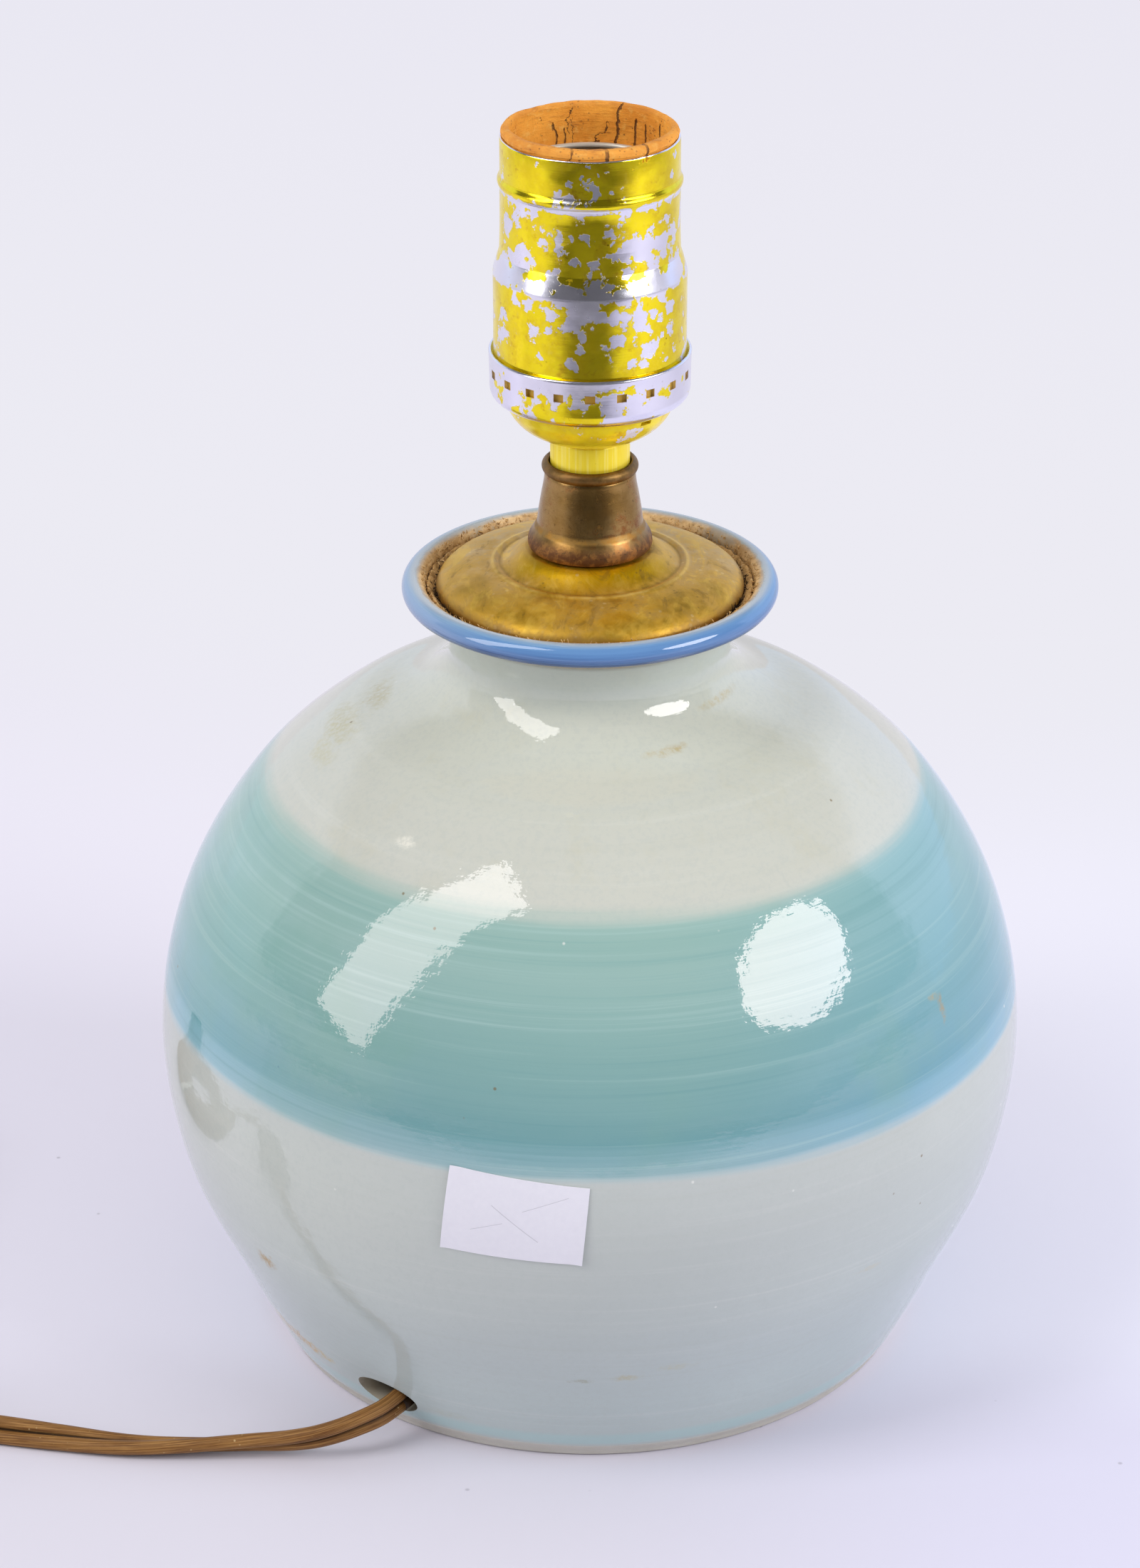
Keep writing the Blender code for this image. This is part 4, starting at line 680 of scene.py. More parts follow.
def gilt(name, worn, seed, edges, spots, round_r, metallic=1.0):
    """Yellow lacquer over bright metal, flaked off in ragged patches; worn is how much has gone.
    edges lists (level, reach, more): levels in mm where more, or less, of it has gone.
    spots lists (angle from the front, level, reach, more): single flakes, or places that kept it."""
    m = Mat(name, Metallic=metallic, Specular_IOR_Level=0.25)
    _, _, z = m.xyz()
    v = m.vec("ADD", m.coord, (seed, seed * 0.7, seed * 0.3))
    mid = m.noise(270, 4, 0.58, v, 0.2)
    field = m.noise(90, 2, 0.5, v, 0.4) * 0.42 + m.noise(900, 4, 0.6, v) * 0.10 + mid * 0.58
    for level, reach, more in edges:
        field += m.step(abs(z - level * MM), reach * MM, reach * MM * 0.4, more)
    # the outlines of the single flakes are pulled about by two sizes of noise
    torn = m.coord
    for size, pull in ((520, 0.0034), (1900, 0.0010)):
        shift = m.noise(size, 2.0, 0.5, v, out="Color")
        torn = m.vec("ADD", torn, m.vec("MULTIPLY_ADD", shift, (pull,) * 3, (-pull / 2,) * 3))
    for angle, level, reach, more in spots:
        a = math.radians(angle)
        spot = (round_r * MM * math.sin(a), -round_r * MM * math.cos(a), level * MM)
        away = m.vec("DISTANCE", torn, spot, out="Value")
        field += m.step(away, reach * 1.3 * MM, reach * 0.6 * MM, more)
    field += m.noise(2300, 3, 0.7, v) * 0.10 - 0.05
    flake = m.step(field, worn, worn + 0.012)
    haze = m.step(field, worn - 0.05, worn)
    lacquer = m.mix(m.step(mid, 0.40, 0.62), (252, 230, 40), (240, 212, 38))
    lacquer = m.mix(m.step(m.noise(1500, 3, 0.7, v), 0.50, 0.66, 0.5), lacquer, (250, 224, 62))
    lacquer = m.mix(m.step(m.noise(420, 4, 0.7, v), 0.56, 0.72), lacquer, (222, 184, 44))
    lacquer = m.mix(haze * 0.20, lacquer, (236, 220, 110))
    bare_metal = m.mix(m.noise(180, 4, 0.6, v), (244, 242, 252), (222, 220, 236))
    color = m.mix(flake, lacquer, bare_metal)
    rust = m.step(m.noise(300, 4, 0.6, v), 0.66, 0.72) * m.step(m.noise(60, 2, 0.5, v), 0.54, 0.62)
    color = m.mix(rust * 0.8, color, (176, 110, 24))
    color = m.mix(m.dots(520, 0.12, 0.05, 120, 0.56, 0.64, v) * 0.8, color, (80, 56, 20))
    rough = m.lerp(rust, m.lerp(flake, mid * 0.16 + 0.12, mid * 0.18 + 0.15), 0.7)
    n = m.bump(flake * -1.0 + m.streaks((40, 40, 1800), 4, 0.6, v) * 0.5, 0.35, 0.00004)
    n = m.bump(m.noise(110, 3, 0.5, v), 0.4, 0.0004, n)
    return m.set(Base_Color=color, Roughness=rough, Normal=n)


# ---- vase cap, neck, gasket
cap_line = [(5.3, 151.3), (9.0, 151.3), (11.2, 151.3)]
cap_line += smooth_line([(11.4, 151.27), (12.4, 150.75), (13.6, 149.8), (14.9, 148.9), (15.7, 148.5)], 4)
cap_line += smooth_line([(15.8, 148.47), (16.3, 148.62), (16.8, 148.74), (17.25, 148.64), (17.7, 148.44)], 4)
cap_line += smooth_line([(18.1, 148.38), (20.0, 148.22), (22.0, 147.8), (24.0, 147.1), (25.4, 146.4), (26.4, 145.6),
                         (26.95, 144.8), (27.1, 144.2), (27.12, 143.83)], 5)


def dented(r, z, a):
    """The cap is a little uneven, except at its hub."""
    return r, z + 0.00012 * wobble(a, 3.0, r * 90, 1.0) * share(r, 0.012, 0.018)


def cap_material():
    """Brass with a painted bright reflection round the front of the hub, dusty towards the edge, and paler towards the
    back, partly dust and partly a painted reflection.
    """
    m = Mat("aged_cap_brass", Metallic=1.0)
    x, y, _ = m.xyz()
    cloud = m.noise(42, 5, 0.6)
    mid = m.noise(150, 5, 0.65)
    fine_n = m.noise(520, 5, 0.72)
    radius = m.hypot(x, y)
    gold = m.mix(m.step(cloud, 0.38, 0.64), (232, 182, 56), (210, 164, 62))
    gold = m.mix(m.step(mid, 0.48, 0.66), gold, (190, 150, 76))
    # round the front of the hub the brass is painted bright yellow, as a reflection, and it holds less dust there
    bright = m.step(mid * 0.003 + radius, 0.0172, 0.0140) * m.step(y, -0.002, -0.010, 1.0, 0.15)
    gold = m.mix(bright * 0.92, gold, (232, 182, 4))
    # towards the back the cap's dusty patches are paler and greyer, partly dust and partly a painted reflection of the
    # bright backdrop
    back = m.step(cloud * 0.030 + y - 0.015, -0.020, 0.010)
    dust = m.step(fine_n * 0.30 + mid * 0.8, 0.36, 0.70) * (back * 0.46 + 0.40)
    dust = dust * (1.0 - bright * 0.85)
    color = m.mix(dust, gold, m.mix(back, (208, 168, 76), (204, 182, 142)))
    speck = m.dots(620, 0.26, 0.14, 150, 0.50, 0.62)
    color = m.mix(speck * 0.55, color, (226, 200, 140))
    dark = m.dots(640, 0.20, 0.09, 200, 0.52, 0.64)
    color = m.mix(dark * 0.45, color, (134, 100, 48))
    smear = m.streaks((210, 90, 200), 5, 0.7, None, 1.2)
    color = m.mix(m.step(smear, 0.50, 0.64, 0.50), color, (240, 200, 84))
    color = m.mix(m.step(smear, 0.44, 0.32, 0.45), color, (144, 110, 56))
    # just inside the ridge a painted shadow line
    painted_ridge_shade = m.step(abs(radius - 0.0158), 0.0005, 0.0001) * 0.3
    color = m.mix(painted_ridge_shade, color, (140, 106, 46))
    # on the ridge's outer side a painted highlight line
    crest = m.step(abs(radius - 0.0172), 0.0004, 0.0001) * m.step(mid, 0.34, 0.60, 0.6, 0.1)
    color = m.mix(crest, color, (240, 206, 116))
    # the cap is darker at its outer edge
    darker_outer_edge = m.step(mid * 0.0016 + radius, 0.0268, 0.0278)
    color = m.mix(darker_outer_edge * 0.6, color, (120, 92, 52))
    met = 1.0 - dust * 0.9
    rough = fine_n * 0.16 + 0.36 + dust * 0.35
    n = m.bump(m.noise(1500, 3, 0.7) * 0.5 + fine_n, 0.45, 0.00012)
    return m.set(Base_Color=color, Roughness=rough, Metallic=met, Normal=n)


fit(lathe("spun_vase_cap", walled(cap_line, 0.9), 256, warp=dented, sharp=60), [cap_material()], "aged_brass",
    "vase_cap")

NECK_LOW, NECK_TOP = 151.65, 167.75
neck_line = [(7.25, NECK_TOP - 0.25), (7.6, NECK_TOP)] + arc(7.25, NECK_TOP - 1.2, 1.2, 75, -60, 14)
neck_line += smooth_line([(7.95, 165.25), (8.1, 163.75), (8.6, 161.0), (9.05, 158.2), (9.3, 156.25), (9.75, 155.3),
                          (10.35, 154.35), (10.78, 153.5), (10.92, 152.7), (10.9, 152.2),
                          (10.72, NECK_LOW + 0.08)], 5)
neck_line += [(10.5, NECK_LOW), (5.25, NECK_LOW), (5.25, NECK_TOP - 1.75), (7.25, NECK_TOP - 1.75)]


def neck_material():
    """Dark bronze with a rusty foot and a dark bead at its top."""
    m = Mat("dark_neck_bronze", Metallic=1.0)
    _, _, z = m.xyz()
    a = m.noise(110, 5, 0.6)
    b = m.noise(520, 5, 0.7)
    tone = m.mix(m.step(a, 0.38, 0.66), (144, 110, 58), (168, 136, 84))
    tone = m.mix(m.step(b * 0.5 + a * 0.5, 0.52, 0.66), tone, (142, 90, 50))
    tone = m.mix(m.step(b, 0.60, 0.70, 0.7), tone, (196, 150, 80))
    tone = m.mix(m.patch(1400, 3, 0.7, 0.60, 0.70, 0.6), tone, (84, 58, 28))
    low = m.step(b * 0.0016 + z, 0.1566, 0.1540)
    rusty = m.mix(m.step(b, 0.42, 0.60), (92, 50, 24), (148, 98, 46))
    rusty = m.mix(m.patch(1100, 4, 0.7, 0.56, 0.66, 0.8), rusty, (50, 28, 14))
    tone = m.mix(low * 0.85, tone, rusty)
    bead = m.step(z, 0.1652, 0.1662)
    tone = m.mix(bead * 0.6, tone, m.mix(m.step(b, 0.44, 0.60), (92, 66, 36), (136, 104, 62)))
    # a ring round the foot's shoulder is painted light gold, as a glint
    edge = m.step(z, 0.1549, 0.1556) * m.step(z, 0.1566, 0.1559)
    tone = m.mix(edge * m.step(b, 0.42, 0.62, 0.6), tone, (186, 140, 66))
    dust = m.step(z * 20.0 + b * 0.8, 3.78, 4.0, 0.30)
    tone = m.mix(dust, tone, (150, 120, 90))
    rough = b * 0.22 + 0.14 + m.max(dust, bead) * 0.22 + m.max(low, edge) * 0.30
    met = 1.0 - dust * 0.7 + low * -0.35
    n = m.bump(b + m.streaks((50, 50, 2200), 4, 0.6) * 0.6, 0.35, 0.00008)
    return m.set(Base_Color=tone, Roughness=rough, Metallic=met, Normal=n)


fit(lathe("bronze_neck", neck_line, 160, sharp=45), [neck_material()], "dark_bronze", "brass_neck")


def felt_material(name, tones):
    """Dusty fibre in three tones."""
    m = Mat(name, Roughness=0.95)
    a = m.noise(300, 5, 0.7)
    b = m.noise(1500, 3, 0.7)
    color = m.mix(m.step(a, 0.35, 0.65), tones[0], tones[1])
    color = m.mix(m.step(b, 0.5, 0.7), color, tones[2])
    return m.set(Base_Color=color, Normal=m.bump(a + b, 0.9, 0.0004))


def shaggy(r, z, a):
    """A torn, frayed surface."""
    fine, wide = r * 700, r * 160
    return (r + 0.0003 * wobble(a, z, fine, 700) + 0.0003 * wobble(a, z, wide, 160),
            z + 0.00022 * wobble(a, z, fine, 700, (9, 4, 2)))


def flare(r):
    """The level of the lip's inner side at a radius."""
    return 144.0 - (29.0 - r) * 1.25


# radius, and height over the lip's inner side
gasket_line = [(r, flare(r) + lift) for r, lift in (
    (23.8, 1.6), (25.4, 1.65), (27.2, 1.6), (28.3, 1.25), (28.65, 0.7), (28.3, 0.35), (26.0, 0.35), (23.8, 0.35))]
gasket = lathe("dusty_gasket_ring", smooth_line(gasket_line + gasket_line[:1], 4)[:-1], 420, warp=shaggy, sharp=180)
fit(gasket, [felt_material("ochre_felt", ((214, 170, 106), (158, 118, 64), (236, 200, 146)))], "dusty_gasket",
    "rim_gasket")


def fibres(name, count, seed, spread, tones, r0, r1, lift, size):
    """Short stiff fibres that stick out between the cap's edge and the lip. They lie between two radii, round
    the angles in spread, each with its width; lift is over the lip's inner side."""
    rng = random.Random(seed)
    verts, faces = [], []
    for _ in range(count):
        centre, wide = rng.choice(spread)
        a = math.radians(rng.gauss(centre, wide))
        r = rng.uniform(r0, r1)
        z = flare(r) + rng.uniform(*lift)
        p = Vector((r * math.cos(a), r * math.sin(a), z)) * MM
        way = Vector((math.cos(a) * rng.uniform(-0.3, 1.0), math.sin(a) * rng.uniform(-0.3, 1.0),
                      rng.uniform(0.1, 1.1)))
        way += Vector((rng.uniform(-0.8, 0.8), rng.uniform(-0.8, 0.8), 0))
        way.normalize()
        long = rng.uniform(*size) * MM
        thick = rng.uniform(0.05, 0.13) * MM
        side = way.orthogonal().normalized()
        other = way.cross(side)
        bendy = side * rng.uniform(-0.3, 0.3) * long
        k = len(verts)
        for along, t in ((0.0, 1.0), (0.5, 0.8), (1.0, 0.35)):
            q = p + way * long * along + bendy * along * along
            for corner in range(3):
                w = math.tau * corner / 3
                verts.append(q + (side * math.cos(w) + other * math.sin(w)) * thick * t)
        faces += [tuple(k + v for v in face) for face in skin(3, 3)]
    fit(mesh_from(name, verts, faces, felt_material(name + "_stuff", tones)), [], "dusty_gasket")


fibres("black_fibres", count=800, seed=5, spread=[(190, 20), (200, 12), (-12, 16), (-20, 12), (140, 14), (40, 12)],
       tones=((50, 34, 20), (22, 14, 8), (100, 70, 40)), r0=26.6, r1=27.7, lift=(0.8, 2.0), size=(0.4, 1.2))
fibres("tan_fibres", count=1800, seed=9, spread=[(180, 60), (0, 60), (90, 70)],
       tones=((222, 180, 116), (178, 136, 78), (238, 206, 152)), r0=27.2, r1=29.6, lift=(0.2, 1.2), size=(0.3, 0.9))


# ---- socket
SCREW_Z = 169.2
collar_line = [(7.3, 173.8), (7.3, 173.15), (5.9, 173.15), (5.9, 172.1)]
collar_line += bend((6.6, 172.1), (6.95, 172.1), (6.95, 171.75), 5)
collar_line += [(6.95, 171.7), (6.95, 168.0), (6.95, 166.6)] + bend((6.95, 166.6), (6.95, 166.35), (6.7, 166.35), 4)
collar_line += [(5.25, 166.35), (5.25, 171.5), (4.25, 171.5), (4.25, 173.8)]
collar = lathe("gilt_collar", collar_line, 128, sharp=40)
cut(collar, [rod("screw_bore", (0, 4.8, SCREW_Z), (0, 9, SCREW_Z), 1.55, sides=32)])


def collar_material():
    """Whole gilt, with fine upright scratches."""
    m = Mat("plain_gilt", Metallic=0.35, Specular_IOR_Level=0.3)
    a = m.noise(150, 4, 0.6)
    b = m.noise(900, 4, 0.7)
    color = m.mix(a, (252, 230, 62), (242, 216, 50))
    fine_line = m.streaks((1500, 1500, 30), 4, 0.7)
    color = m.mix(m.step(fine_line, 0.50, 0.62, 0.35), color, (255, 246, 150))
    color = m.mix(m.step(fine_line, 0.44, 0.34, 0.30), color, (206, 172, 34))
    color = m.mix(m.step(b, 0.66, 0.74, 0.5), color, (170, 130, 40))
    n = m.bump(m.streaks((1200, 1200, 60), 4, 0.6), 0.25, 0.00004)
    return m.set(Base_Color=color, Roughness=b * 0.15 + 0.30, Normal=n)


fit(collar, [collar_material()], "gilt_aluminium", "socket_collar")

set_screw = lathe("grub_screw", [(0.0, 2.3), (1.1, 2.3), (1.3, 2.1), (1.3, 0.3), (1.1, 0.05), (0.0, 0.05)], 32,
                  closed=False)
move(set_screw, (0, 5.2, SCREW_Z + 0.02), -90, "X")
cut(set_screw, [box_mesh("slot_tool", (-3, 6.9, SCREW_Z - 0.23), (3, 8.5, SCREW_Z + 0.27))])
steel = metal("zinc_plate", ((150, 150, 154), (120, 120, 126), (178, 176, 176)), rough=0.38)
fit(set_screw, [steel], "zinc_steel", "collar_set_screw")

WINDOWS, WINDOW_WIDE, WINDOW_LOW, WINDOW_TOP = 20, 1.74, 184.4, 185.85
DOME_TOP, SLOT_AT, SLOT_WIDE, SLOT_LOW, SLOT_TOP = 179.3, 41, 2.3, 178.15, 178.95
ring = [(17.42, 188.25), (17.52, 188.1), (17.5, 187.8), (17.46, 186.5), (17.42, 185.0), (17.38, 183.0),
        (17.38, 181.9)]
ring += smooth_line([(17.38, 181.6), (17.12, 180.6), (16.3, 179.8), (15.1, 179.4)], 6)
ring += [(14.85, 179.15)]
ring += smooth_line([(14.72, 178.8), (13.9, 177.0), (12.6, 175.3), (10.9, 173.95), (9.1, 173.0), (7.3, 172.5),
                     (6.3, 172.45)], 7)
socket_cap = lathe("gilt_socket_cap", walled(ring, 0.45, 4), 240, sharp=40)
tools = []
for k in range(WINDOWS):
    tools.append(box_mesh(f"window_{k}", (-WINDOW_WIDE / 2, 15.5, WINDOW_LOW), (WINDOW_WIDE / 2, 19.0, WINDOW_TOP)))
    move(tools[-1], (0, 0, 0), 180 + 360 * k / WINDOWS)
tools.append(box_mesh("dome_slot", (-SLOT_WIDE / 2, 12.0, SLOT_LOW), (SLOT_WIDE / 2, 20.0, SLOT_TOP)))
move(tools[-1], (0, 0, 0), 180 + SLOT_AT)
cut(socket_cap, [join(tools, "windows")], sharp=40)
# single flakes: angle from the front, level and reach in mm, and how much more is gone
RING_KEPT = (
    (-10, 181.4, 1.7, -0.13), (1, 181, 1.7, -0.13), (11, 181.5, 1.6, -0.13), (18, 182.6, 1.1, -0.11),
    (-68, 184.2, 1, -0.11), (-62, 182, 0.8, -0.11), (-48, 181, 0.9, -0.11), (60, 181.2, 0.9, -0.11),
    (-27.8, 185, 1, -0.1), (-27.5, 183.2, 1, -0.1), (-27.5, 181.4, 1, -0.1), (6, 186.4, 1.2, -0.08),
    (14, 186.6, 1.2, -0.09), (22, 186.2, 1, -0.09), (-15, 182.4, 1.2, -0.1), (-7, 182.2, 1.2, -0.1),
    (2, 182.6, 1, -0.1), (21, 182.6, 1.2, -0.08), (38, 181.4, 0.8, -0.1), (50, 184.6, 0.8, -0.08),
    (-100, 183, 3, -0.08), (130, 184, 3, -0.08), (-160, 182, 3, -0.08),
)
DOME_GONE = [(4, 174.6, 1.2, 0.08), (30, 176.6, 1.4, 0.16), (36, 177.4, 1.2, 0.16), (22, 175.8, 1.0, 0.12)]
fit(socket_cap, [
    gilt("flaked_gilt_ring", worn=0.440, seed=0.37, edges=((188.2, 1.2, 0.08), (DOME_TOP, 1.3, 0.08)),
         spots=RING_KEPT, round_r=17.4),
    gilt("flaked_gilt_dome", worn=0.650, seed=0.11, edges=(), spots=DOME_GONE, round_r=13.5, metallic=0.3),
], "gilt_aluminium", "socket_cap")
for p in socket_cap.data.polygons:
    p.material_index = int(p.center.z < DOME_TOP * MM)

shell_line = [(15.30, 226.25), (15.35, 226.05), (15.35, 222.0), (15.35, 220.0)]
shell_line += smooth_line([(15.35, 219.9), (15.45, 219.55), (15.72, 219.1), (15.8, 218.7), (15.72, 218.25),
                           (15.45, 217.8), (15.35, 217.5)], 4)
shell_line += [(15.36, 215.0), (15.38, 211.0), (15.4, 207.5)]
shell_line += smooth_line([(15.4, 206.9), (15.44, 206.5), (15.58, 206.1), (15.9, 205.1), (16.28, 203.8),
                           (16.54, 202.9), (16.63, 202.5), (16.65, 202.1)], 4)
shell_line += [(16.65, z) for z in (200.0, 196.0, 190.0, 187.5, 182.8)]


def shell_warp(r, z, a):
    """Thin sheet that has been handled."""
    return r + 0.00007 * wobble(a, z, 2.2, 90), z


shell = lathe("gilt_socket_shell", walled(shell_line, 0.45, 4), 240, warp=shell_warp, sharp=45)
SHELL_GONE = (
    (-73.6, 223, 1.6), (-35, 225.2, 0.8), (54.4, 223.4, 0.8), (-3, 222.9, 0.9), (-60, 217.2, 1.2),
    (-48, 217.3, 1.3), (-37, 217, 1), (36, 216.7, 1.2), (48, 216.9, 1.3), (60, 217.3, 1.3), (21.8, 216.4, 1.7),
    (-44.7, 207.7, 2.6), (-47, 209.6, 1.6), (-64.7, 213.2, 1.5), (-64.7, 211.6, 1.5), (-32.7, 211.8, 1),
    (-22, 210.3, 0.9), (31.8, 211.2, 2.6), (42, 212.3, 1.6), (23, 210, 2), (36, 209.6, 1.6), (23.4, 206.8, 1.1),
    (15.4, 209.4, 1.5), (-1.3, 212.6, 1.1), (-11.4, 209.7, 1.8), (-10.2, 213.4, 0.8), (12, 213.2, 1.2),
    (64.4, 212.4, 1.4), (50.3, 210.8, 1.2), (-70, 205.5, 2.4), (68, 205.5, 2.4), (44, 197.4, 1), (41, 199.4, 1),
    (48, 201, 1.2), (24, 191, 1), (26, 195, 0.9), (46, 194.4, 1), (36, 196.4, 0.9), (48, 190.8, 1),
    (60, 191.4, 1.2), (-2, 201.6, 2), (20, 202.4, 1.6), (-18, 202.2, 1.4), (-8.7, 198.3, 1.8), (6, 199.6, 1.3),
    (14, 199.5, 1.3), (-4.8, 196.4, 1.3), (-4.6, 194.2, 1.3), (9.4, 193.3, 1.7), (16.8, 195.2, 1.4),
    (14, 190.7, 1.5), (-11, 190.8, 1.2), (30.5, 199.6, 1.6), (31, 197.2, 1.3), (38.5, 193, 1.8),
    (54.5, 199, 1.5), (55.5, 195.6, 1.6), (-24.3, 199.3, 1.4), (-26.4, 196.3, 0.9), (-30.6, 191.5, 1),
    (-63.3, 196.5, 1.8), (-64, 193, 1.8), (-50, 200.8, 1.4), (-38, 200.5, 1.3), (32, 190, 1.2), (100, 208, 3),
    (140, 198, 3.2), (-120, 212, 3), (-150, 194, 3.4), (175, 210, 2.8), (-95, 196, 2.6),
)
TOP_GONE = (
    (-13, 222.2, 1.2), (3, 221.6, 1.5), (-6, 223.6, 0.8), (9, 224.3, 0.7), (-21, 221, 0.9), (-72, 221, 1.3),
    (-66, 225, 1), (62, 221.8, 0.9), (70, 224.6, 1.2), (15, 220.8, 0.6), (-2, 225, 0.6),
)
gone = [(*flake, 0.15) for flake in SHELL_GONE] + [(*flake, 0.22) for flake in TOP_GONE]
insulation = Mat("tan_insulation", Roughness=0.8)
insulation.set(Base_Color=insulation.mix(insulation.noise(300, 4, 0.6), (222, 180, 70), (172, 130, 44)))
worn_levels = ((223.2, 4.2, -0.07), (226.5, 0.35, 0.40), (217.6, 0.8, 0.12), (203.6, 2.1, 0.10))
fit(shell, [gilt("flaked_gilt_shell", worn=0.606, seed=0.83, edges=worn_levels, spots=gone, round_r=16.0),
            insulation.mat], "gilt_aluminium", "socket_shell")
# the fibre that shows through the ring's windows
FIBRE_TOP = 187.4
for p in shell.data.polygons:
    p.material_index = int(p.center.z < FIBRE_TOP * MM)

liner_line = smooth_line([(14.45, 228.05), (14.92, 227.8), (15.12, 227.3), (14.95, 226.6), (14.58, 226.0)], 5)
liner_line += [(14.58, 222.0), (14.58, 215.0), (14.58, 206.4), (15.86, 201.4), (15.86, 184.5), (15.2, 184.5),
               (15.2, 201.2), (13.92, 206.2), (13.92, 215.0), (13.9, 221.0)]
liner_line += smooth_line([(13.88, 223.0), (13.84, 225.0), (13.84, 226.8), (13.88, 227.5), (14.1, 227.95)], 5)


def liner_warp(r, z, a):
    """The sleeve's free end is uneven, and at the front its lip is rolled in and thick."""
    up = share(z, 0.2215, 0.2265)
    front = share(-math.sin(a) * 1.1, -0.25, 0.75)
    if r < 0.0143 and z > 0.2215:
        r -= 0.00095 * front * min(1.0, (z - 0.2215) / 0.0038)
    r += up * (0.00010 * wobble(a, z, 2.6, 60) + 0.00007 * wobble(a, z, 9, 60))
    room = 0.01528 if z > 0.2266 else 0.01475 if z > 0.206 else 1.0
    rise = 0.00018 * wobble(a, z, 2.6, 60, (5, 1, 0)) + 0.00008 * wobble(a, z, 9, 60) - 0.0003 * (1 - front)
    return min(r, room), z + up * rise


# cracks: angle from the back, sway, half width in radians, lowest and highest level
CRACKS = (
    (-29, 1, 0.02, 219, 224.6), (-21, 1.4, 0.022, 219, 223.4), (-17, 2.6, 0.012, 222, 227),
    (-10, 2.2, 0.01, 219.5, 225), (10.5, 1.8, 0.01, 219.5, 224.5), (21, 1.2, 0.026, 219, 228),
    (34.5, 0.5, 0.018, 219, 225.6), (44, 0.5, 0.016, 219, 225), (62, 0.8, 0.02, 221, 226),
    (172.5, 0.8, 0.03, 224.6, 228.4), (191.5, 1, 0.014, 224.6, 228.4), (139, 0.8, 0.026, 224.6, 228.4),
    (-75, 1, 0.012, 219, 225), (100, 1, 0.014, 220, 226),
)


def liner_material():
    """Orange fibre, dry and cracked on its inner side."""
    m = Mat("orange_fibre", Roughness=0.85)
    x, y, z = m.xyz()
    around = m.math("ARCTAN2", x, y)
    a = m.noise(130, 5, 0.65)
    b = m.noise(700, 4, 0.7)
    color = m.mix(m.step(a, 0.36, 0.66), (250, 172, 62), (228, 146, 42))
    color = m.mix(m.step(b, 0.52, 0.70, 0.6), color, (250, 194, 96))
    color = m.mix(m.patch(60, 3, 0.5, 0.55, 0.7, 0.5), color, (192, 116, 38))
    strands = m.streaks((240, 240, 1500), 4, 0.7)
    color = m.mix(m.step(strands, 0.56, 0.68, 0.55), color, (166, 98, 34))
    pores = m.dots(1300, 0.30, 0.14, 200, 0.48, 0.60)
    color = m.mix(pores * 0.7, color, (120, 66, 22))
    wob = m.noise(330, 4, 0.7) * 0.16 - 0.08
    slow = m.noise(110, 2, 0.5) * 0.5 - 0.25
    cracks = None
    for angle, sway, wide, low, high in CRACKS:
        at = math.radians(angle if angle <= 180 else angle - 360)
        off = abs(around - at + (wob + slow) * sway)
        one = m.step(off, wide, wide * 0.35) * m.step(z, low * MM, (low + 0.3) * MM)
        one *= m.step(z, high * MM, (high - 0.8) * MM)
        cracks = one if cracks is None else m.max(cracks, one)
    color = m.mix(cracks * 0.85, color, (84, 46, 18))
    rim = m.step(z, 0.2266, 0.2275)
    color = m.mix(rim * 0.30, color, (188, 122, 60))
    height = cracks * -3.0 + a + b * 0.7 + strands * 0.8
    return m.set(Base_Color=color, Normal=m.bump(height, 0.9, 0.00026))


fit(lathe("fibre_sleeve", liner_line, 320, warp=liner_warp, sharp=70), [liner_material()], "fibre_liner",
    "socket_liner")


def threaded_sleeve():
    """The screw shell, with its rolled thread as one true helix."""
    per, rows, top, bottom, pitch, thick = 96, 150, 220.55, 200.2, 3.63, 0.35
    turns = [math.tau * j / per for j in range(per)]

    def radius(z, a):
        fade = share(-z, 1.8 - top, 3.3 - top) * share(z, bottom + 0.6, bottom + 2.1)
        return 13.3 + 0.26 * (1 - fade) + 0.29 * fade * math.cos(math.tau * z / pitch - a)
    levels = [top + (bottom - top) * i / rows for i in range(rows + 1)]
    rings = [[(radius(z, a), z) for a in turns] for z in levels]
    rings += [[(r, z)] * per for r, z in ((12.6, 199.6), (8.4, 199.55), (8.4, 199.9), (12.2, 199.95))]
    rings += [[(radius(z, a) - thick, z) for a in turns] for z in levels[::-1]]
    verts = [(r * MM * math.cos(a), r * MM * math.sin(a), z * MM) for one in rings for a, (r, z) in zip(turns, one)]
    obj = mesh_from("threaded_sleeve", verts, skin(len(rings), per, caps=False, loop=True))
    weld(obj, 1e-7, 50)
    return obj


def sleeve_material():
    """Nickel that is clean at the rim and painted dark below it, as shade inside the socket."""
    m = Mat("nickel_painted_dark_inside", Metallic=1.0)
    _, _, z = m.xyz()
    a = m.noise(240, 5, 0.65)
    clean = m.mix(a, (236, 234, 224), (206, 204, 192))
    painted_inner_shade = m.mix(a, (88, 82, 72), (52, 47, 40))
    # below the rim the nickel is painted dark, as shade inside the socket
    deep = m.step(a * 0.0010 + z, 0.2198, 0.2188)
    color = m.mix(deep, clean, painted_inner_shade)
    rough = a * 0.25 + 0.30
    met = m.lerp(deep, 0.35, 1.0)
    return m.set(Base_Color=color, Roughness=rough, Metallic=met, Normal=m.bump(a, 0.4, 0.0001))


rim = lathe("rolled_rim", arc(13.0, 220.25, 0.5, 0, 345, 23), 96, sharp=80)
fit(join([threaded_sleeve(), rim], "threaded_sleeve"), [sleeve_material()], "aluminium", "screw_shell")


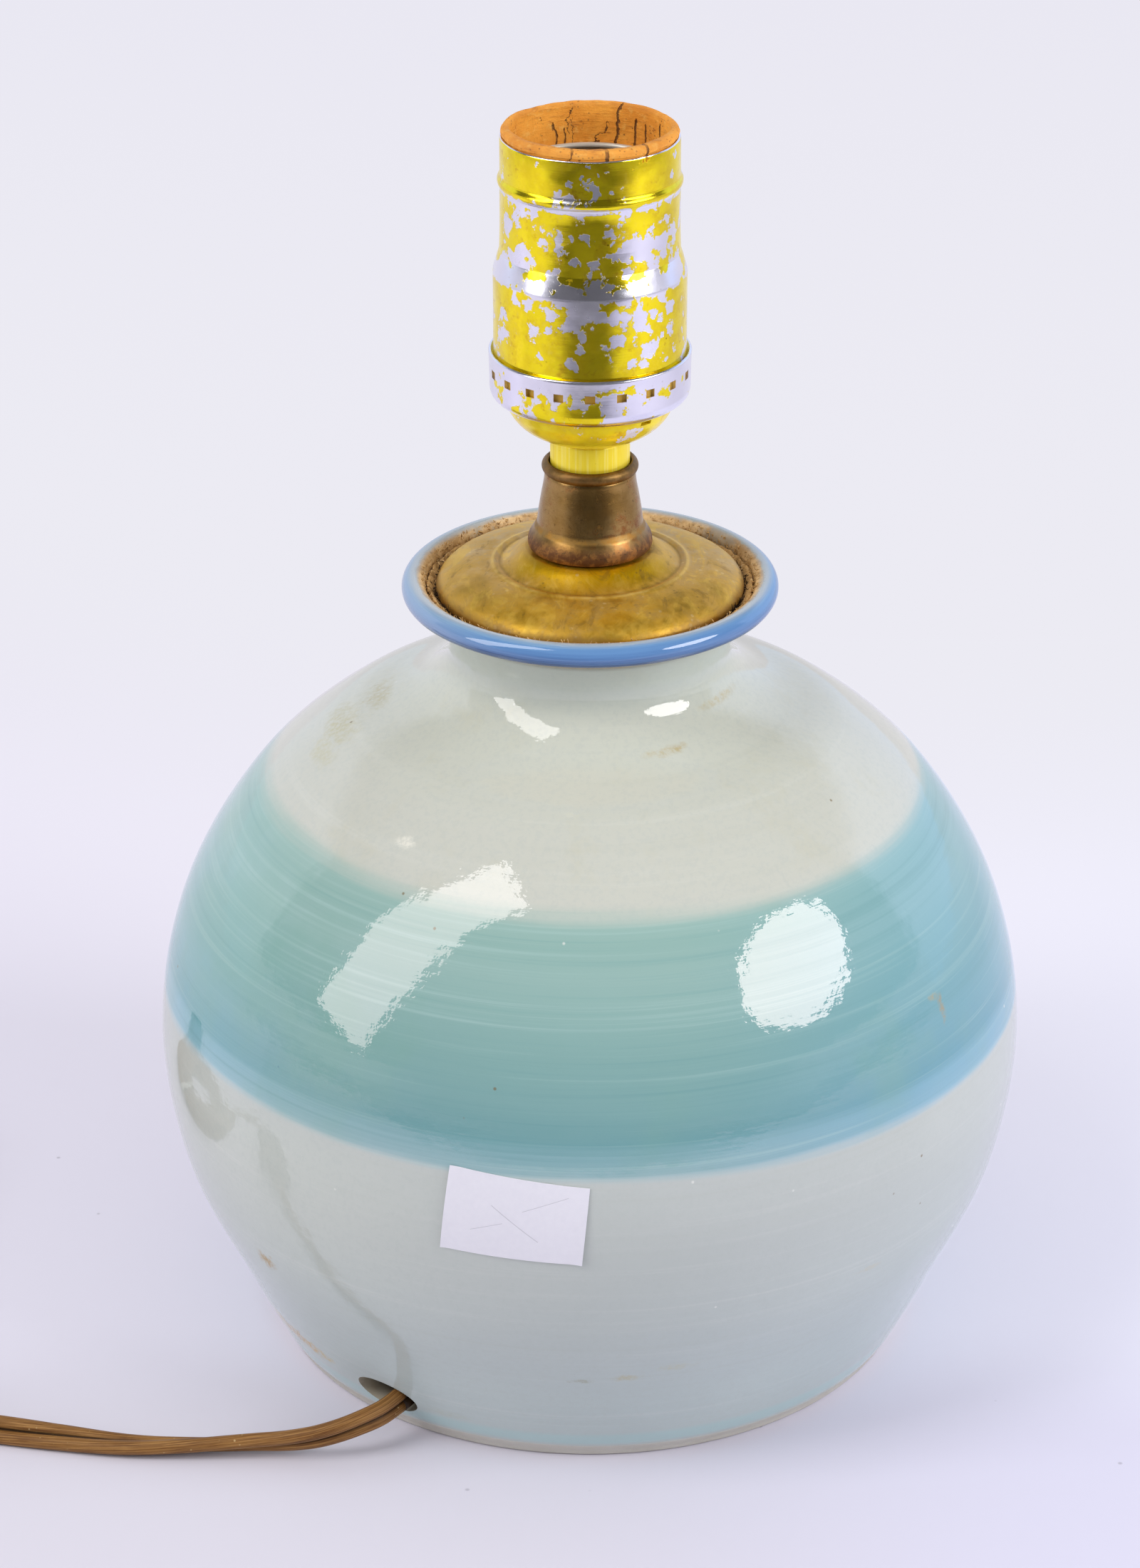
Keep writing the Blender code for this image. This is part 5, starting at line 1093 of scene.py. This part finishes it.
def plastic(name, tones, rough=0.38, grain=900):
    """Moulded plastic, rubber or board in three tones; the third is a fine fleck."""
    m = Mat(name)
    a = m.noise(70, 4, 0.6)
    b = m.noise(grain, 3, 0.6)
    color = m.mix(m.step(a, 0.35, 0.65), tones[0], tones[1])
    color = m.mix(m.step(b, 0.62, 0.74, 0.4), color, tones[2])
    r = b * 0.18 + rough - 0.05
    return m.set(Base_Color=color, Roughness=r, Normal=m.bump(b, 0.25, 0.00006))


brass_plain = metal("worn_brass", ((196, 152, 64), (160, 118, 46), (214, 178, 96)), rough=0.34)
repaint(plastic("black_phenolic_block", ((26, 24, 24), (34, 31, 30), (58, 54, 52)), rough=0.42), "socket_body")
repaint(brass_plain, "terminal_screw_brass", "centre_contact")
repaint(metal("nickel_screw", ((190, 190, 192), (160, 160, 164), (206, 206, 206)), rough=0.3), "terminal_screw_nickel")
repaint(plastic("wire_skin", ((92, 62, 38), (78, 50, 30), (112, 80, 52)), rough=0.5), "lead_wire_live",
        "lead_wire_neutral")


# ---- under the pot
def pipe_material():
    """Zinc with a thread that is only drawn on it."""
    m = Mat("threaded_zinc", Metallic=1.0)
    x, y, z = m.xyz()
    turn = m.math("ARCTAN2", y, x) / math.tau
    tooth = abs(m.math("FRACT", z * 1063.0 + turn) - 0.5)
    a = m.noise(400, 4, 0.6)
    color = m.mix(tooth, (104, 100, 92), (176, 172, 162))
    color = m.mix(m.step(a, 0.55, 0.7, 0.5), color, (128, 98, 64))
    return m.set(Base_Color=color, Roughness=a * 0.2 + 0.3, Normal=m.bump(tooth, 1.0, 0.0004))


PIPE_LOW, PIPE_TOP, PIPE_R, PIPE_BORE = 12.5, 171.25, 4.9, 3.3
NUT_LOW, NUT_TOP, NUT_R, NUT_BORE = 14.0, 18.5, 9.2, 5.2
pipe = lathe("threaded_pipe", [(4.6, PIPE_TOP), (PIPE_R, 170.95), (PIPE_R, 100.0), (PIPE_R, 12.8), (4.6, PIPE_LOW),
                               (3.5, PIPE_LOW), (PIPE_BORE, 12.7), (PIPE_BORE, 100.0), (PIPE_BORE, 171.0),
                               (3.5, PIPE_TOP)], 64, sharp=40)
rubber = plastic("old_rubber", ((30, 30, 31), (40, 39, 39), (66, 63, 60)), rough=0.8)
washer1 = lathe("rubber_washer", [(15.6, 22.7), (16.0, 22.3), (16.0, 21.1), (15.6, 20.7), (NUT_BORE, 20.7),
                                  (NUT_BORE, 22.7)], 96, sharp=40)
washer2 = lathe("steel_washer", [(18.8, 20.4), (19.0, 20.2), (19.0, 19.0), (18.8, 18.8), (5.4, 18.8), (5.2, 19.0),
                                 (5.2, 20.2), (5.4, 20.4)], 96, sharp=40)
nut = rod("hex_nut", (0, 0, NUT_LOW), (0, 0, NUT_TOP), NUT_R, sides=6)
cut(nut, [rod("nut_tool", (0, 0, NUT_LOW - 4), (0, 0, NUT_TOP + 3.5), NUT_BORE, sides=64)])
chamfer = lathe("nut_chamfer", [(0.0, 18.6), (8.1, 18.6), (9.4, 17.8), (9.4, 14.7), (8.1, 13.9), (0.0, 13.9)], 64,
                closed=False)
cut(nut, [chamfer], "INTERSECT", sharp=25)
fit(pipe, [pipe_material()], "zinc_steel", "lamp_pipe")
fit(washer1, [rubber], "black_rubber", "base_rubber_washer")
fit(washer2, [steel], "zinc_steel", "base_steel_washer")
fit(nut, [steel], "zinc_steel", "base_hex_nut")


# ---- cord
def cord_section():
    """The flat cord across: two round conductors, joined by a narrow web."""
    half, web = 1.3, 0.30
    start = math.asin(web / half)
    out = []
    for k in range(17):
        a = math.pi - start - (math.tau - 2 * start) * k / 16
        out.append((half + half * math.cos(a), half * math.sin(a)))
    return out + [(-x, -y) for x, y in out]


SECTION = cord_section()
ACROSS = len(SECTION)


def swept(line, broad):
    """The cord along a line in mm; broad(way, i) is the direction of its wide side at point i."""
    verts = []
    for i, p in enumerate(line):
        t = unit(line[min(len(line) - 1, i + 1)] - line[max(0, i - 1)])
        w = broad(t, i)
        b = np.cross(w, t)
        verts += [(p + w * x + b * y) * MM for x, y in SECTION]
    return verts, skin(len(line), ACROSS)


def flat_cord(name, path, mat, step=1.1):
    """path: x, y, z in mm and the twist in degrees; 0 is flat, -90 stands on edge."""
    whole = length_of(path)
    count = max(8, round(whole / step))
    line = even(path, count)
    for _ in range(2):
        line[1:-1] = (line[:-2] + 2 * line[1:-1] + line[2:]) / 4

    def broad(t, i):
        side = unit(np.cross(t, (0, 0, 1.0)))
        f = math.radians(line[i, 3])
        return side * math.cos(f) + np.cross(side, t) * math.sin(f)
    obj = mesh_from(name, *swept(line[:, :3], broad), mat)
    mesh = obj.data
    layer = mesh.uv_layers.new(name="UVMap")
    for poly in mesh.polygons:
        last = max(mesh.loops[q].vertex_index % ACROSS for q in poly.loop_indices) == ACROSS - 1
        for li in poly.loop_indices:
            i, j = divmod(mesh.loops[li].vertex_index, ACROSS)
            layer.data[li].uv = (whole * i / count * 0.02, 1.0 if j == 0 and last else j / ACROSS)
    weld(obj, 1e-7)
    return obj, line[:, :3] * MM


def cord_material():
    """Ribbed brown vinyl; u runs along the cord, v round it."""
    m = Mat("brown_cord_vinyl", IOR=1.45, Specular_IOR_Level=0.3)
    u, v, _ = m.xyz(m.uv())
    rib = m.noise(1.0, 4, 0.65, m.node("ShaderNodeCombineXYZ", u * 4.0, v * 70.0, 0.0))
    a = m.noise(120, 4, 0.6)
    b = m.noise(1400, 3, 0.7)
    color = m.mix(m.step(a, 0.35, 0.65), (124, 84, 40), (104, 66, 30))
    color = m.mix(m.step(rib, 0.42, 0.64), color, (160, 118, 66))
    color = m.mix(m.step(rib, 0.40, 0.30, 0.6), color, (78, 46, 20))
    # the groove of the web between the conductors is painted dark as shade: it lies at both ends and in the middle of
    # v
    web = abs(m.math("FRACT", v * 2.0 + 0.03) - 0.5)
    painted_groove_shade = m.step(web, 0.375, 0.445)
    color = m.mix(painted_groove_shade * 0.9, color, (30, 18, 8))
    dust = m.step(b * 0.5 + rib * 0.6, 0.64, 0.80, 0.35)
    color = m.mix(dust, color, (190, 152, 98))
    grit = m.dots(900, 0.24, 0.10, 300, 0.54, 0.64)
    color = m.mix(grit * 0.7, color, (204, 176, 124))
    rough = rib * 0.22 + 0.36
    n = m.bump(rib + b * 0.25, 0.5, 0.00014)
    return m.set(Base_Color=color, Roughness=rough, Normal=n)


cord_mat = cord_material()
EXIT = (-33.93, -52.25, 7.9)
# the route from the exit: along, across, the level, and the twist
run_points = [
    (0.0, 0.0, 7.9, -88), (-3.0, -3.9, 7.7, -84), (-6.4, -5.9, 7.1, -78), (-10.3, -7.1, 6.1, -72),
    (-14.9, -7.4, 4.8, -65), (-20.3, -6.8, 3.6, -56), (-25.9, -6.1, 2.9, -47), (-37.1, -5.9, 2.15, -29),
    (-48.4, -5.2, 1.75, -8), (-60.1, -3.2, 1.85, 18), (-71.5, -1.2, 2.25, 42), (-80.0, -0.2, 3.1, 40),
    (-89.8, 0.0, 6.3, 8), (-94.7, 0.0, 6.35, 0),
]
run_line = smooth_line([(EXIT[0] + x, EXIT[1] + y, z, twist) for x, y, z, twist in run_points], 8)
run_cord, run_path = flat_cord("cord_to_switch", run_line, cord_mat)

SWITCH_IN, SWITCH_Y, SWITCH_Z, SWITCH_LONG = EXIT[0] - 95.0, EXIT[1], 6.35, 56.0
SWITCH_OUT = SWITCH_IN - SWITCH_LONG
COIL_STEP, CORE, TURNS = 5.8, 16.5, 8.5
OUTER = CORE + COIL_STEP * TURNS / 2
CX, CY = SWITCH_OUT - 6.0 + 18.0, SWITCH_Y + 44.0 + OUTER
LOW_Z, HIGH_Z = 2.25, 5.05


def coil_place(t):
    """In along the lower layer, up, and out along the upper one; t counts the turns."""
    past = t - TURNS / 2
    r = CORE + COIL_STEP * abs(past)
    c = share(past * 2, -0.5, 0.5)
    a = math.tau * t - math.pi / 2
    return (CX + r * math.cos(a), CY + r * math.sin(a), LOW_Z + (HIGH_Z - LOW_Z) * c * c * (3 - 2 * c))


FEED_R = 22.0
feed_points = [(SWITCH_OUT - 0.3, SWITCH_Y, SWITCH_Z), (SWITCH_OUT - 5.2, SWITCH_Y, SWITCH_Z)]
for k in range(1, 9):
    a = -math.pi / 2 - math.pi * k / 8
    feed_points.append((SWITCH_OUT - 6.0 + FEED_R * math.cos(a), SWITCH_Y + FEED_R + FEED_R * math.sin(a),
                        SWITCH_Z + (LOW_Z - SWITCH_Z) * min(1.0, k / 4)))
feed_line = smooth_line(feed_points + [(CX - 8.0, CY - OUTER - 0.05, LOW_Z)], 8)
wind = [coil_place(TURNS * k / 408) for k in range(409)]
end = np.array(wind[-1])
way = end - np.array(coil_place(TURNS - 0.01))
way[2] = 0
way = unit(way)
plug_at = end + way * 29.2
plug_at[2] = 6.85
tail_line = smooth_line([end + way * 4.0, end + way * 9.0, plug_at - way * 9.0, plug_at - way * 4.0, plug_at], 6)
whole_line = [(*p, 0.0) for p in feed_line + wind + tail_line]
store_cord, store_path = flat_cord("cord_put_away", whole_line, cord_mat, step=1.6)

# inside the lamp the flat cord stands on edge; its side is kept across the pot
inner_points = [(0.0, 0.0, 171.2), (0.0, 0.0, 60.0), (0.0, 0.0, 30.0), (0.0, 0.0, 14.0), (-0.8, -1.2, 9.6),
                (-2.6, -4.0, 6.6), (-6.0, -9.0, 5.3), (-11.0, -17.0, 5.1), (-20.0, -31.0, 6.2), (-27.5, -42.3, 7.5),
                (-31.0, -47.7, 7.9), (-33.7, -51.9, 7.9)]
inner_verts, inner_faces = swept(even(smooth_line(inner_points, 10), 150),
                                 lambda t, i: unit(np.cross(t, (0.8387, -0.5446, 0.0))))
inner_cord = mesh_from("cord_inside", inner_verts, inner_faces, cord_mat)
weld(inner_cord, 1e-7)
fit(inner_cord, [], "brown_cord", "inner_cord")
fit(run_cord, [], "brown_cord", "cord_run")
fit(store_cord, [], "brown_cord", "cord_feed", "cord_coil", "cord_tail")


# ---- tie
def strap():
    """A strap round the coil, on the line from its middle at the angle a0."""
    a0, room, half, thick, corner = math.radians(15.0), 0.35, 2.6, 0.6, 1.6
    ca, sa = math.cos(a0), math.sin(a0)
    first = (a0 / math.tau + 0.25) % 1.0
    radii = [CORE + COIL_STEP * abs(first + k - TURNS / 2) for k in range(math.ceil(TURNS - first))]
    lo, hi = min(radii) - half - room, max(radii) + half + room
    zl, zh = 0.72, HIGH_Z + 1.55

    def loop(grow):
        corners = ((lo + corner, zl + corner, 180), (hi - corner, zl + corner, 270),
                   (hi - corner, zh - corner, 0), (lo + corner, zh - corner, 90))
        return [p for cx, cz, st in corners for p in arc(cx, cz, corner + grow, st, st + 90, 6)]
    verts = []
    for line, y in ((loop(0.0), -2.0), (loop(thick), -2.0), (loop(thick), 2.0), (loop(0.0), 2.0)):
        verts += [((CX + r * ca - y * sa) * MM, (CY + r * sa + y * ca) * MM, z * MM) for r, z in line]
    obj = mesh_from("strap", verts, skin(4, len(verts) // 4, caps=False, loop=True))
    weld(obj, 1e-7, 40)
    return obj


tie = strap()
fit(tie, [plastic("strap_plastic", ((196, 192, 182), (184, 178, 166), (206, 203, 196)), rough=0.55)], "tie_plastic",
    "coil_tie")


# ---- switch
brown = plastic("brown_moulding", ((72, 46, 28), (62, 38, 22), (92, 62, 40)), rough=0.34)
repaint(brown, "switch_lower_half", "switch_upper_half")
SWITCH_MID = SWITCH_IN - SWITCH_LONG / 2
HUB = (SWITCH_MID, SWITCH_Y - 2.3, SWITCH_Z)


def wheel_mesh():
    radius, ribs, per = 10.2, 40, 240
    verts = []
    for z, shrink in ((-2.0, -0.35), (-1.75, 0.0), (1.75, 0.0), (2.0, -0.35)):
        for k in range(per):
            a = math.tau * k / per
            r = radius - 0.25 * (1 - math.cos(ribs * a)) + shrink
            verts.append((r * math.cos(a) * MM, r * math.sin(a) * MM, z * MM))
    obj = mesh_from("ribbed_wheel", verts, skin(4, per))
    cut(obj, [rod("axle", (0, 0, -3.4), (0, 0, 3.4), 1.6, sides=40)], "UNION", sharp=40)
    move(obj, HUB)
    return obj


wheel = wheel_mesh()
fit(wheel, [plastic("wheel_moulding", ((50, 32, 20), (42, 26, 16), (74, 50, 34)), rough=0.4)], "brown_plastic",
    "switch_wheel", body="thumb_wheel")
screw_line = [(0.0, 12.35), (2.0, 12.35), (2.4, 11.95), (2.4, 11.25), (1.3, 11.25), (1.3, 2.3), (1.0, 2.0),
              (0.0, 2.0)]
for name, node, dx in (("screw_near", "switch_screw_near", 18.5), ("screw_far", "switch_screw_far", -18.5)):
    x = SWITCH_MID + dx
    screw = lathe(name, screw_line, 48, closed=False)
    move(screw, (x, SWITCH_Y, 0))
    cut(screw, [box_mesh("slot", (x - 3, SWITCH_Y - 0.28, 11.8), (x + 3, SWITCH_Y + 0.28, 13.0))])
    fit(screw, [steel], "zinc_steel", node)


# ---- plug
def plug_mesh():
    """A rounded block that swells from the cord; each row has its distance, half width and half height in mm."""
    rows = [(0.0, 4.0, 3.6), (0.5, 4.6, 4.3), (3.0, 5.0, 5.0), (6.0, 5.7, 5.6), (9.5, 8.0, 6.2), (13.0, 10.6, 6.7),
            (17.0, 12.1, 6.8), (20.0, 12.45, 6.8), (26.0, 12.45, 6.8), (29.8, 12.3, 6.7), (30.7, 11.9, 6.3),
            (31.0, 11.2, 5.6)]
    fine_rows = smooth_line(rows[:-3], 4) + rows[-3:]
    per, square = 64, 0.36
    verts = []
    for x, w, h in fine_rows:
        for k in range(per):
            c, s = math.cos(math.tau * k / per), math.sin(math.tau * k / per)
            verts.append((x * MM, w * MM * math.copysign(abs(c) ** square, c),
                          h * MM * math.copysign(abs(s) ** square, s)))
    return mesh_from("moulded_plug", verts, skin(len(fine_rows), per))


plug = plug_mesh()
BLADE_Y = 6.35
tools = [box_mesh(f"blade_room_{s}", (26.7, s * BLADE_Y - 1.05, -3.5),
                  (34, s * BLADE_Y + 1.05, 3.5)) for s in (-1, 1)]
for k in range(4):
    x, deep = 1.6 + k * 1.9, 3.9 + 0.35 * k
    tools.append(box_mesh(f"relief_{k}", (x, -12, deep), (x + 0.8, 12, 9)))
    tools.append(box_mesh(f"relief_low_{k}", (x, -12, -9), (x + 0.8, 12, -deep)))
cut(plug, tools, sharp=40)
move(plug, plug_at, math.degrees(math.atan2(way[1], way[0])))
fit(plug, [brown], "brown_plastic", "plug_body")
repaint(brass_plain, "plug_blade_live", "plug_blade_neutral")


def route(path):
    """Every second point of a cord's path, and its last one."""
    return [tuple(p) for p in path[::2]] + [tuple(path[-1])]


route(run_path)
route(store_path)


# ---- paper label, left bare
LABEL_WIDE, LABEL_TALL = 24.0, 15.5


def label_paper():
    m = Mat("label_paper", Roughness=0.55)
    u, v, _ = m.xyz(m.uv())

    def line(u0, v0, u1, v1, wide):
        """A cut between two places on the paper."""
        du, dv = (u1 - u0) * LABEL_WIDE, (v1 - v0) * LABEL_TALL
        long = math.hypot(du, dv)
        pu, pv = (u - u0) * LABEL_WIDE, (v - v0) * LABEL_TALL
        along = pu * (du / long) + pv * (dv / long)
        across = abs(pu * (dv / long) - pv * (du / long))
        return (along > 0.0) * (along < long) * m.step(across, wide, wide * 0.3)
    cuts = m.max(line(0.33, 0.64, 0.68, 0.26, 0.10),
                 m.max(line(0.55, 0.62, 0.86, 0.86, 0.08), line(0.20, 0.30, 0.42, 0.44, 0.08)))
    b = m.noise(900, 4, 0.6)
    color = m.mix(cuts * 0.45, m.mix(b, (228, 227, 234), (219, 218, 227)), (150, 148, 160))
    return m.set(Base_Color=color, Normal=m.bump(cuts * -3.0 + b, 0.3, 0.00005))


def label():
    """Two layers of a grid over the paper's corners, each an angle from the front and a level."""
    top_left, top_right, low_right, low_left = (np.array(c) for c in (
        (-17.7, 69.1), (0.0, 66.75), (-1.0, 51.85), (-19.0, 53.05)))
    nu, nv = 56, 36
    verts, faces, uvs = [], [], []
    for lift in (0.16, 0.03):
        for j in range(nv + 1):
            for i in range(nu + 1):
                u, v = i / nu, j / nv
                top, low = top_left + (top_right - top_left) * u, low_left + (low_right - low_left) * u
                a, z = low + (top - low) * v
                a = math.radians(a)
                curl = 0.35 * max(0.0, (u - 0.9) / 0.1) ** 2 * (1 - v) + 0.25 * max(0.0, (0.08 - u) / 0.08) ** 2
                r = pot_r(z) + lift + curl + 0.02
                verts.append((r * math.sin(a) * MM, -r * math.cos(a) * MM, z * MM))
                uvs.append((u, v))
    n, half = nu + 1, (nu + 1) * (nv + 1)
    for j in range(nv):
        for i in range(nu):
            a, b, c, d = j * n + i, j * n + i + 1, (j + 1) * n + i + 1, (j + 1) * n + i
            faces += [(a, b, c, d), (half + a, half + d, half + c, half + b)]
    rim = list(range(n)) + [j * n + nu for j in range(1, nv + 1)]
    rim += [nv * n + i for i in range(nu - 1, -1, -1)] + [j * n for j in range(nv - 1, 0, -1)]
    faces += [(b, a, half + a, half + b) for a, b in zip(rim, rim[1:] + rim[:1])]
    obj = mesh_from("bare_label", verts, faces, sharp=50)
    layer = obj.data.uv_layers.new(name="UVMap")
    for loop in obj.data.loops:
        layer.data[loop.index].uv = uvs[loop.vertex_index]
    fit(obj, [label_paper()], "tie_plastic")


label()


# ---- floor, world and lights
DARK_ROOM = (0.10, 0.10, 0.105, 1)


def floor_material():
    m = Mat("pale_floor", Roughness=0.9, Specular_IOR_Level=0.15)
    a = m.noise(4.0, 3, 0.5)
    x, y, _ = m.xyz()
    far_x = abs(x)
    # the floor is painted brighter and bluer to the right, as light, and darker in front of the lamp, as the light's
    # falloff; far to the right it is darker too
    color = m.mix(m.step(x, -0.05, 0.12), m.mix(a, (236, 233, 247), (231, 228, 243)),
                  m.mix(a, (239, 239, 255), (235, 234, 254)))
    color = m.mix(m.step(y, -0.012, -0.060), color, m.mix(m.step(x, -0.02, 0.10), (213, 210, 222), (214, 212, 232)))
    color = m.mix(m.step(x, 0.17, 0.50), color, (210, 208, 221))
    color = m.mix(m.specks(95, 0.90, 0.055, 0.02) * 0.45, color, (150, 146, 160))
    m.set(Base_Color=color)
    # behind the lamp the paper brightens into a sweep, and in reflections it ends in front of the lamp
    seen, glossy = (m.node("ShaderNodeLightPath", out=ray) for ray in ("Is Camera Ray", "Is Glossy Ray"))
    front = m.max(m.step(y, -0.490, -0.530) * m.step(far_x, 1.0, 0.7),
                  m.step(y, -0.375, -0.420) * m.step(far_x, 0.30, 0.15))
    glow = m.node("ShaderNodeEmission", m.mix(m.step(abs(y), 0.25, 1.6), (236, 235, 243), (230, 228, 241)), 1.0)
    near_camera = m.step(y, -0.610, -0.660) * m.step(far_x, 0.40, 0.25)
    dark = m.node("ShaderNodeEmission", m.mix(near_camera, DARK_ROOM, (0.24, 0.24, 0.25, 1)))
    slant = m.math("MINIMUM", x, 0.0) * 0.7 + y
    far = m.max(m.step(slant, 0.0, 0.30), m.step(m.hypot(x, y), 0.45, 1.0))
    shader = Num(m, m.shader.outputs[0])
    whole = m.blend(m.max(seen * far, glossy * m.step(y, 0.15, 0.7)), shader, glow)
    m.put(m.tree.nodes["Material Output"].inputs["Surface"], m.blend(glossy * front, whole, dark))
    return m.mat


floor = bpy.data.meshes.new("floor")
floor.from_pydata([(-6, -6, 0), (6, -6, 0), (6, 6, 0), (-6, 6, 0)], [], [(0, 1, 2, 3)])
new_object("floor", floor, floor_material())

world = bpy.data.worlds.new("studio")
scene.world = world
world.use_nodes = True
world.node_tree.nodes.remove(world.node_tree.nodes["Background"])
w = Nodes(world.node_tree)


def backdrop(color, strength=1.0):
    return w.node("ShaderNodeBackground", color, strength)


AIR = (0.80, 0.785, 0.80, 1)
to_x, to_y, to_z = w.xyz(w.node("ShaderNodeTexCoord", out="Generated"))
camera_ray, glossy_ray = (w.node("ShaderNodeLightPath", out=ray) for ray in ("Is Camera Ray", "Is Glossy Ray"))
# what lights the lamp: softer from the front and from the right
sides = w.blend(w.step(to_x, -0.1, -0.8), backdrop(AIR, 0.79), backdrop(AIR, 0.92))
ambient = w.blend(w.step(to_y, -0.2, -0.9), sides, backdrop(AIR, 0.60))
# what it mirrors: a dark room, the paper low down, and the bright sweep behind
low_sky = w.step(to_z, 0.15, 0.09) * w.step(to_y, -0.80, -0.45)
behind = w.step(to_y, 0.20, 0.30) * w.step(to_z, 0.62, 0.45)
sweep = w.blend(w.step(to_x, -0.3, 0.6), backdrop((0.82, 0.90, 1.04, 1)), backdrop((0.80, 0.95, 1.30, 1)))
mirrored = w.blend(behind, w.blend(low_sky, backdrop(DARK_ROOM), backdrop((0.74, 0.74, 0.82, 1))), sweep)
lit = w.blend(glossy_ray, ambient, mirrored)
w.put(w.tree.nodes["World Output"].inputs["Surface"], w.blend(camera_ray, lit, backdrop((232, 230, 242))))
scene.view_settings.view_transform = "Standard"


def area(name, azimuth, elevation, distance, size, power, roll, shape="RECTANGLE"):
    """A soft box seen from the lamp at that azimuth from the front, towards +X, and elevation."""
    light = bpy.data.lights.new(name, "AREA")
    light.shape = shape
    light.size, light.size_y = size
    light.energy = power
    obj = bpy.data.objects.new(name, light)
    scene.collection.objects.link(obj)
    a, e = math.radians(azimuth), math.radians(elevation)
    way_out = Vector((math.sin(a) * math.cos(e), -math.cos(a) * math.cos(e), math.sin(e)))
    obj.location = Vector((0.0, 0.0, 0.09)) + way_out * distance
    facing = way_out.to_track_quat("Z", "Y").to_matrix()
    obj.rotation_euler = (facing @ Matrix.Rotation(math.radians(roll), 3, "Z")).to_euler()


area("soft_box_right", azimuth=64, elevation=27, distance=1.15, size=(0.72, 0.50), power=7.4, roll=4, shape="ELLIPSE")
area("soft_box_left", azimuth=-61.5, elevation=37.5, distance=1.25, size=(0.42, 1.40), power=8.6, roll=-17)
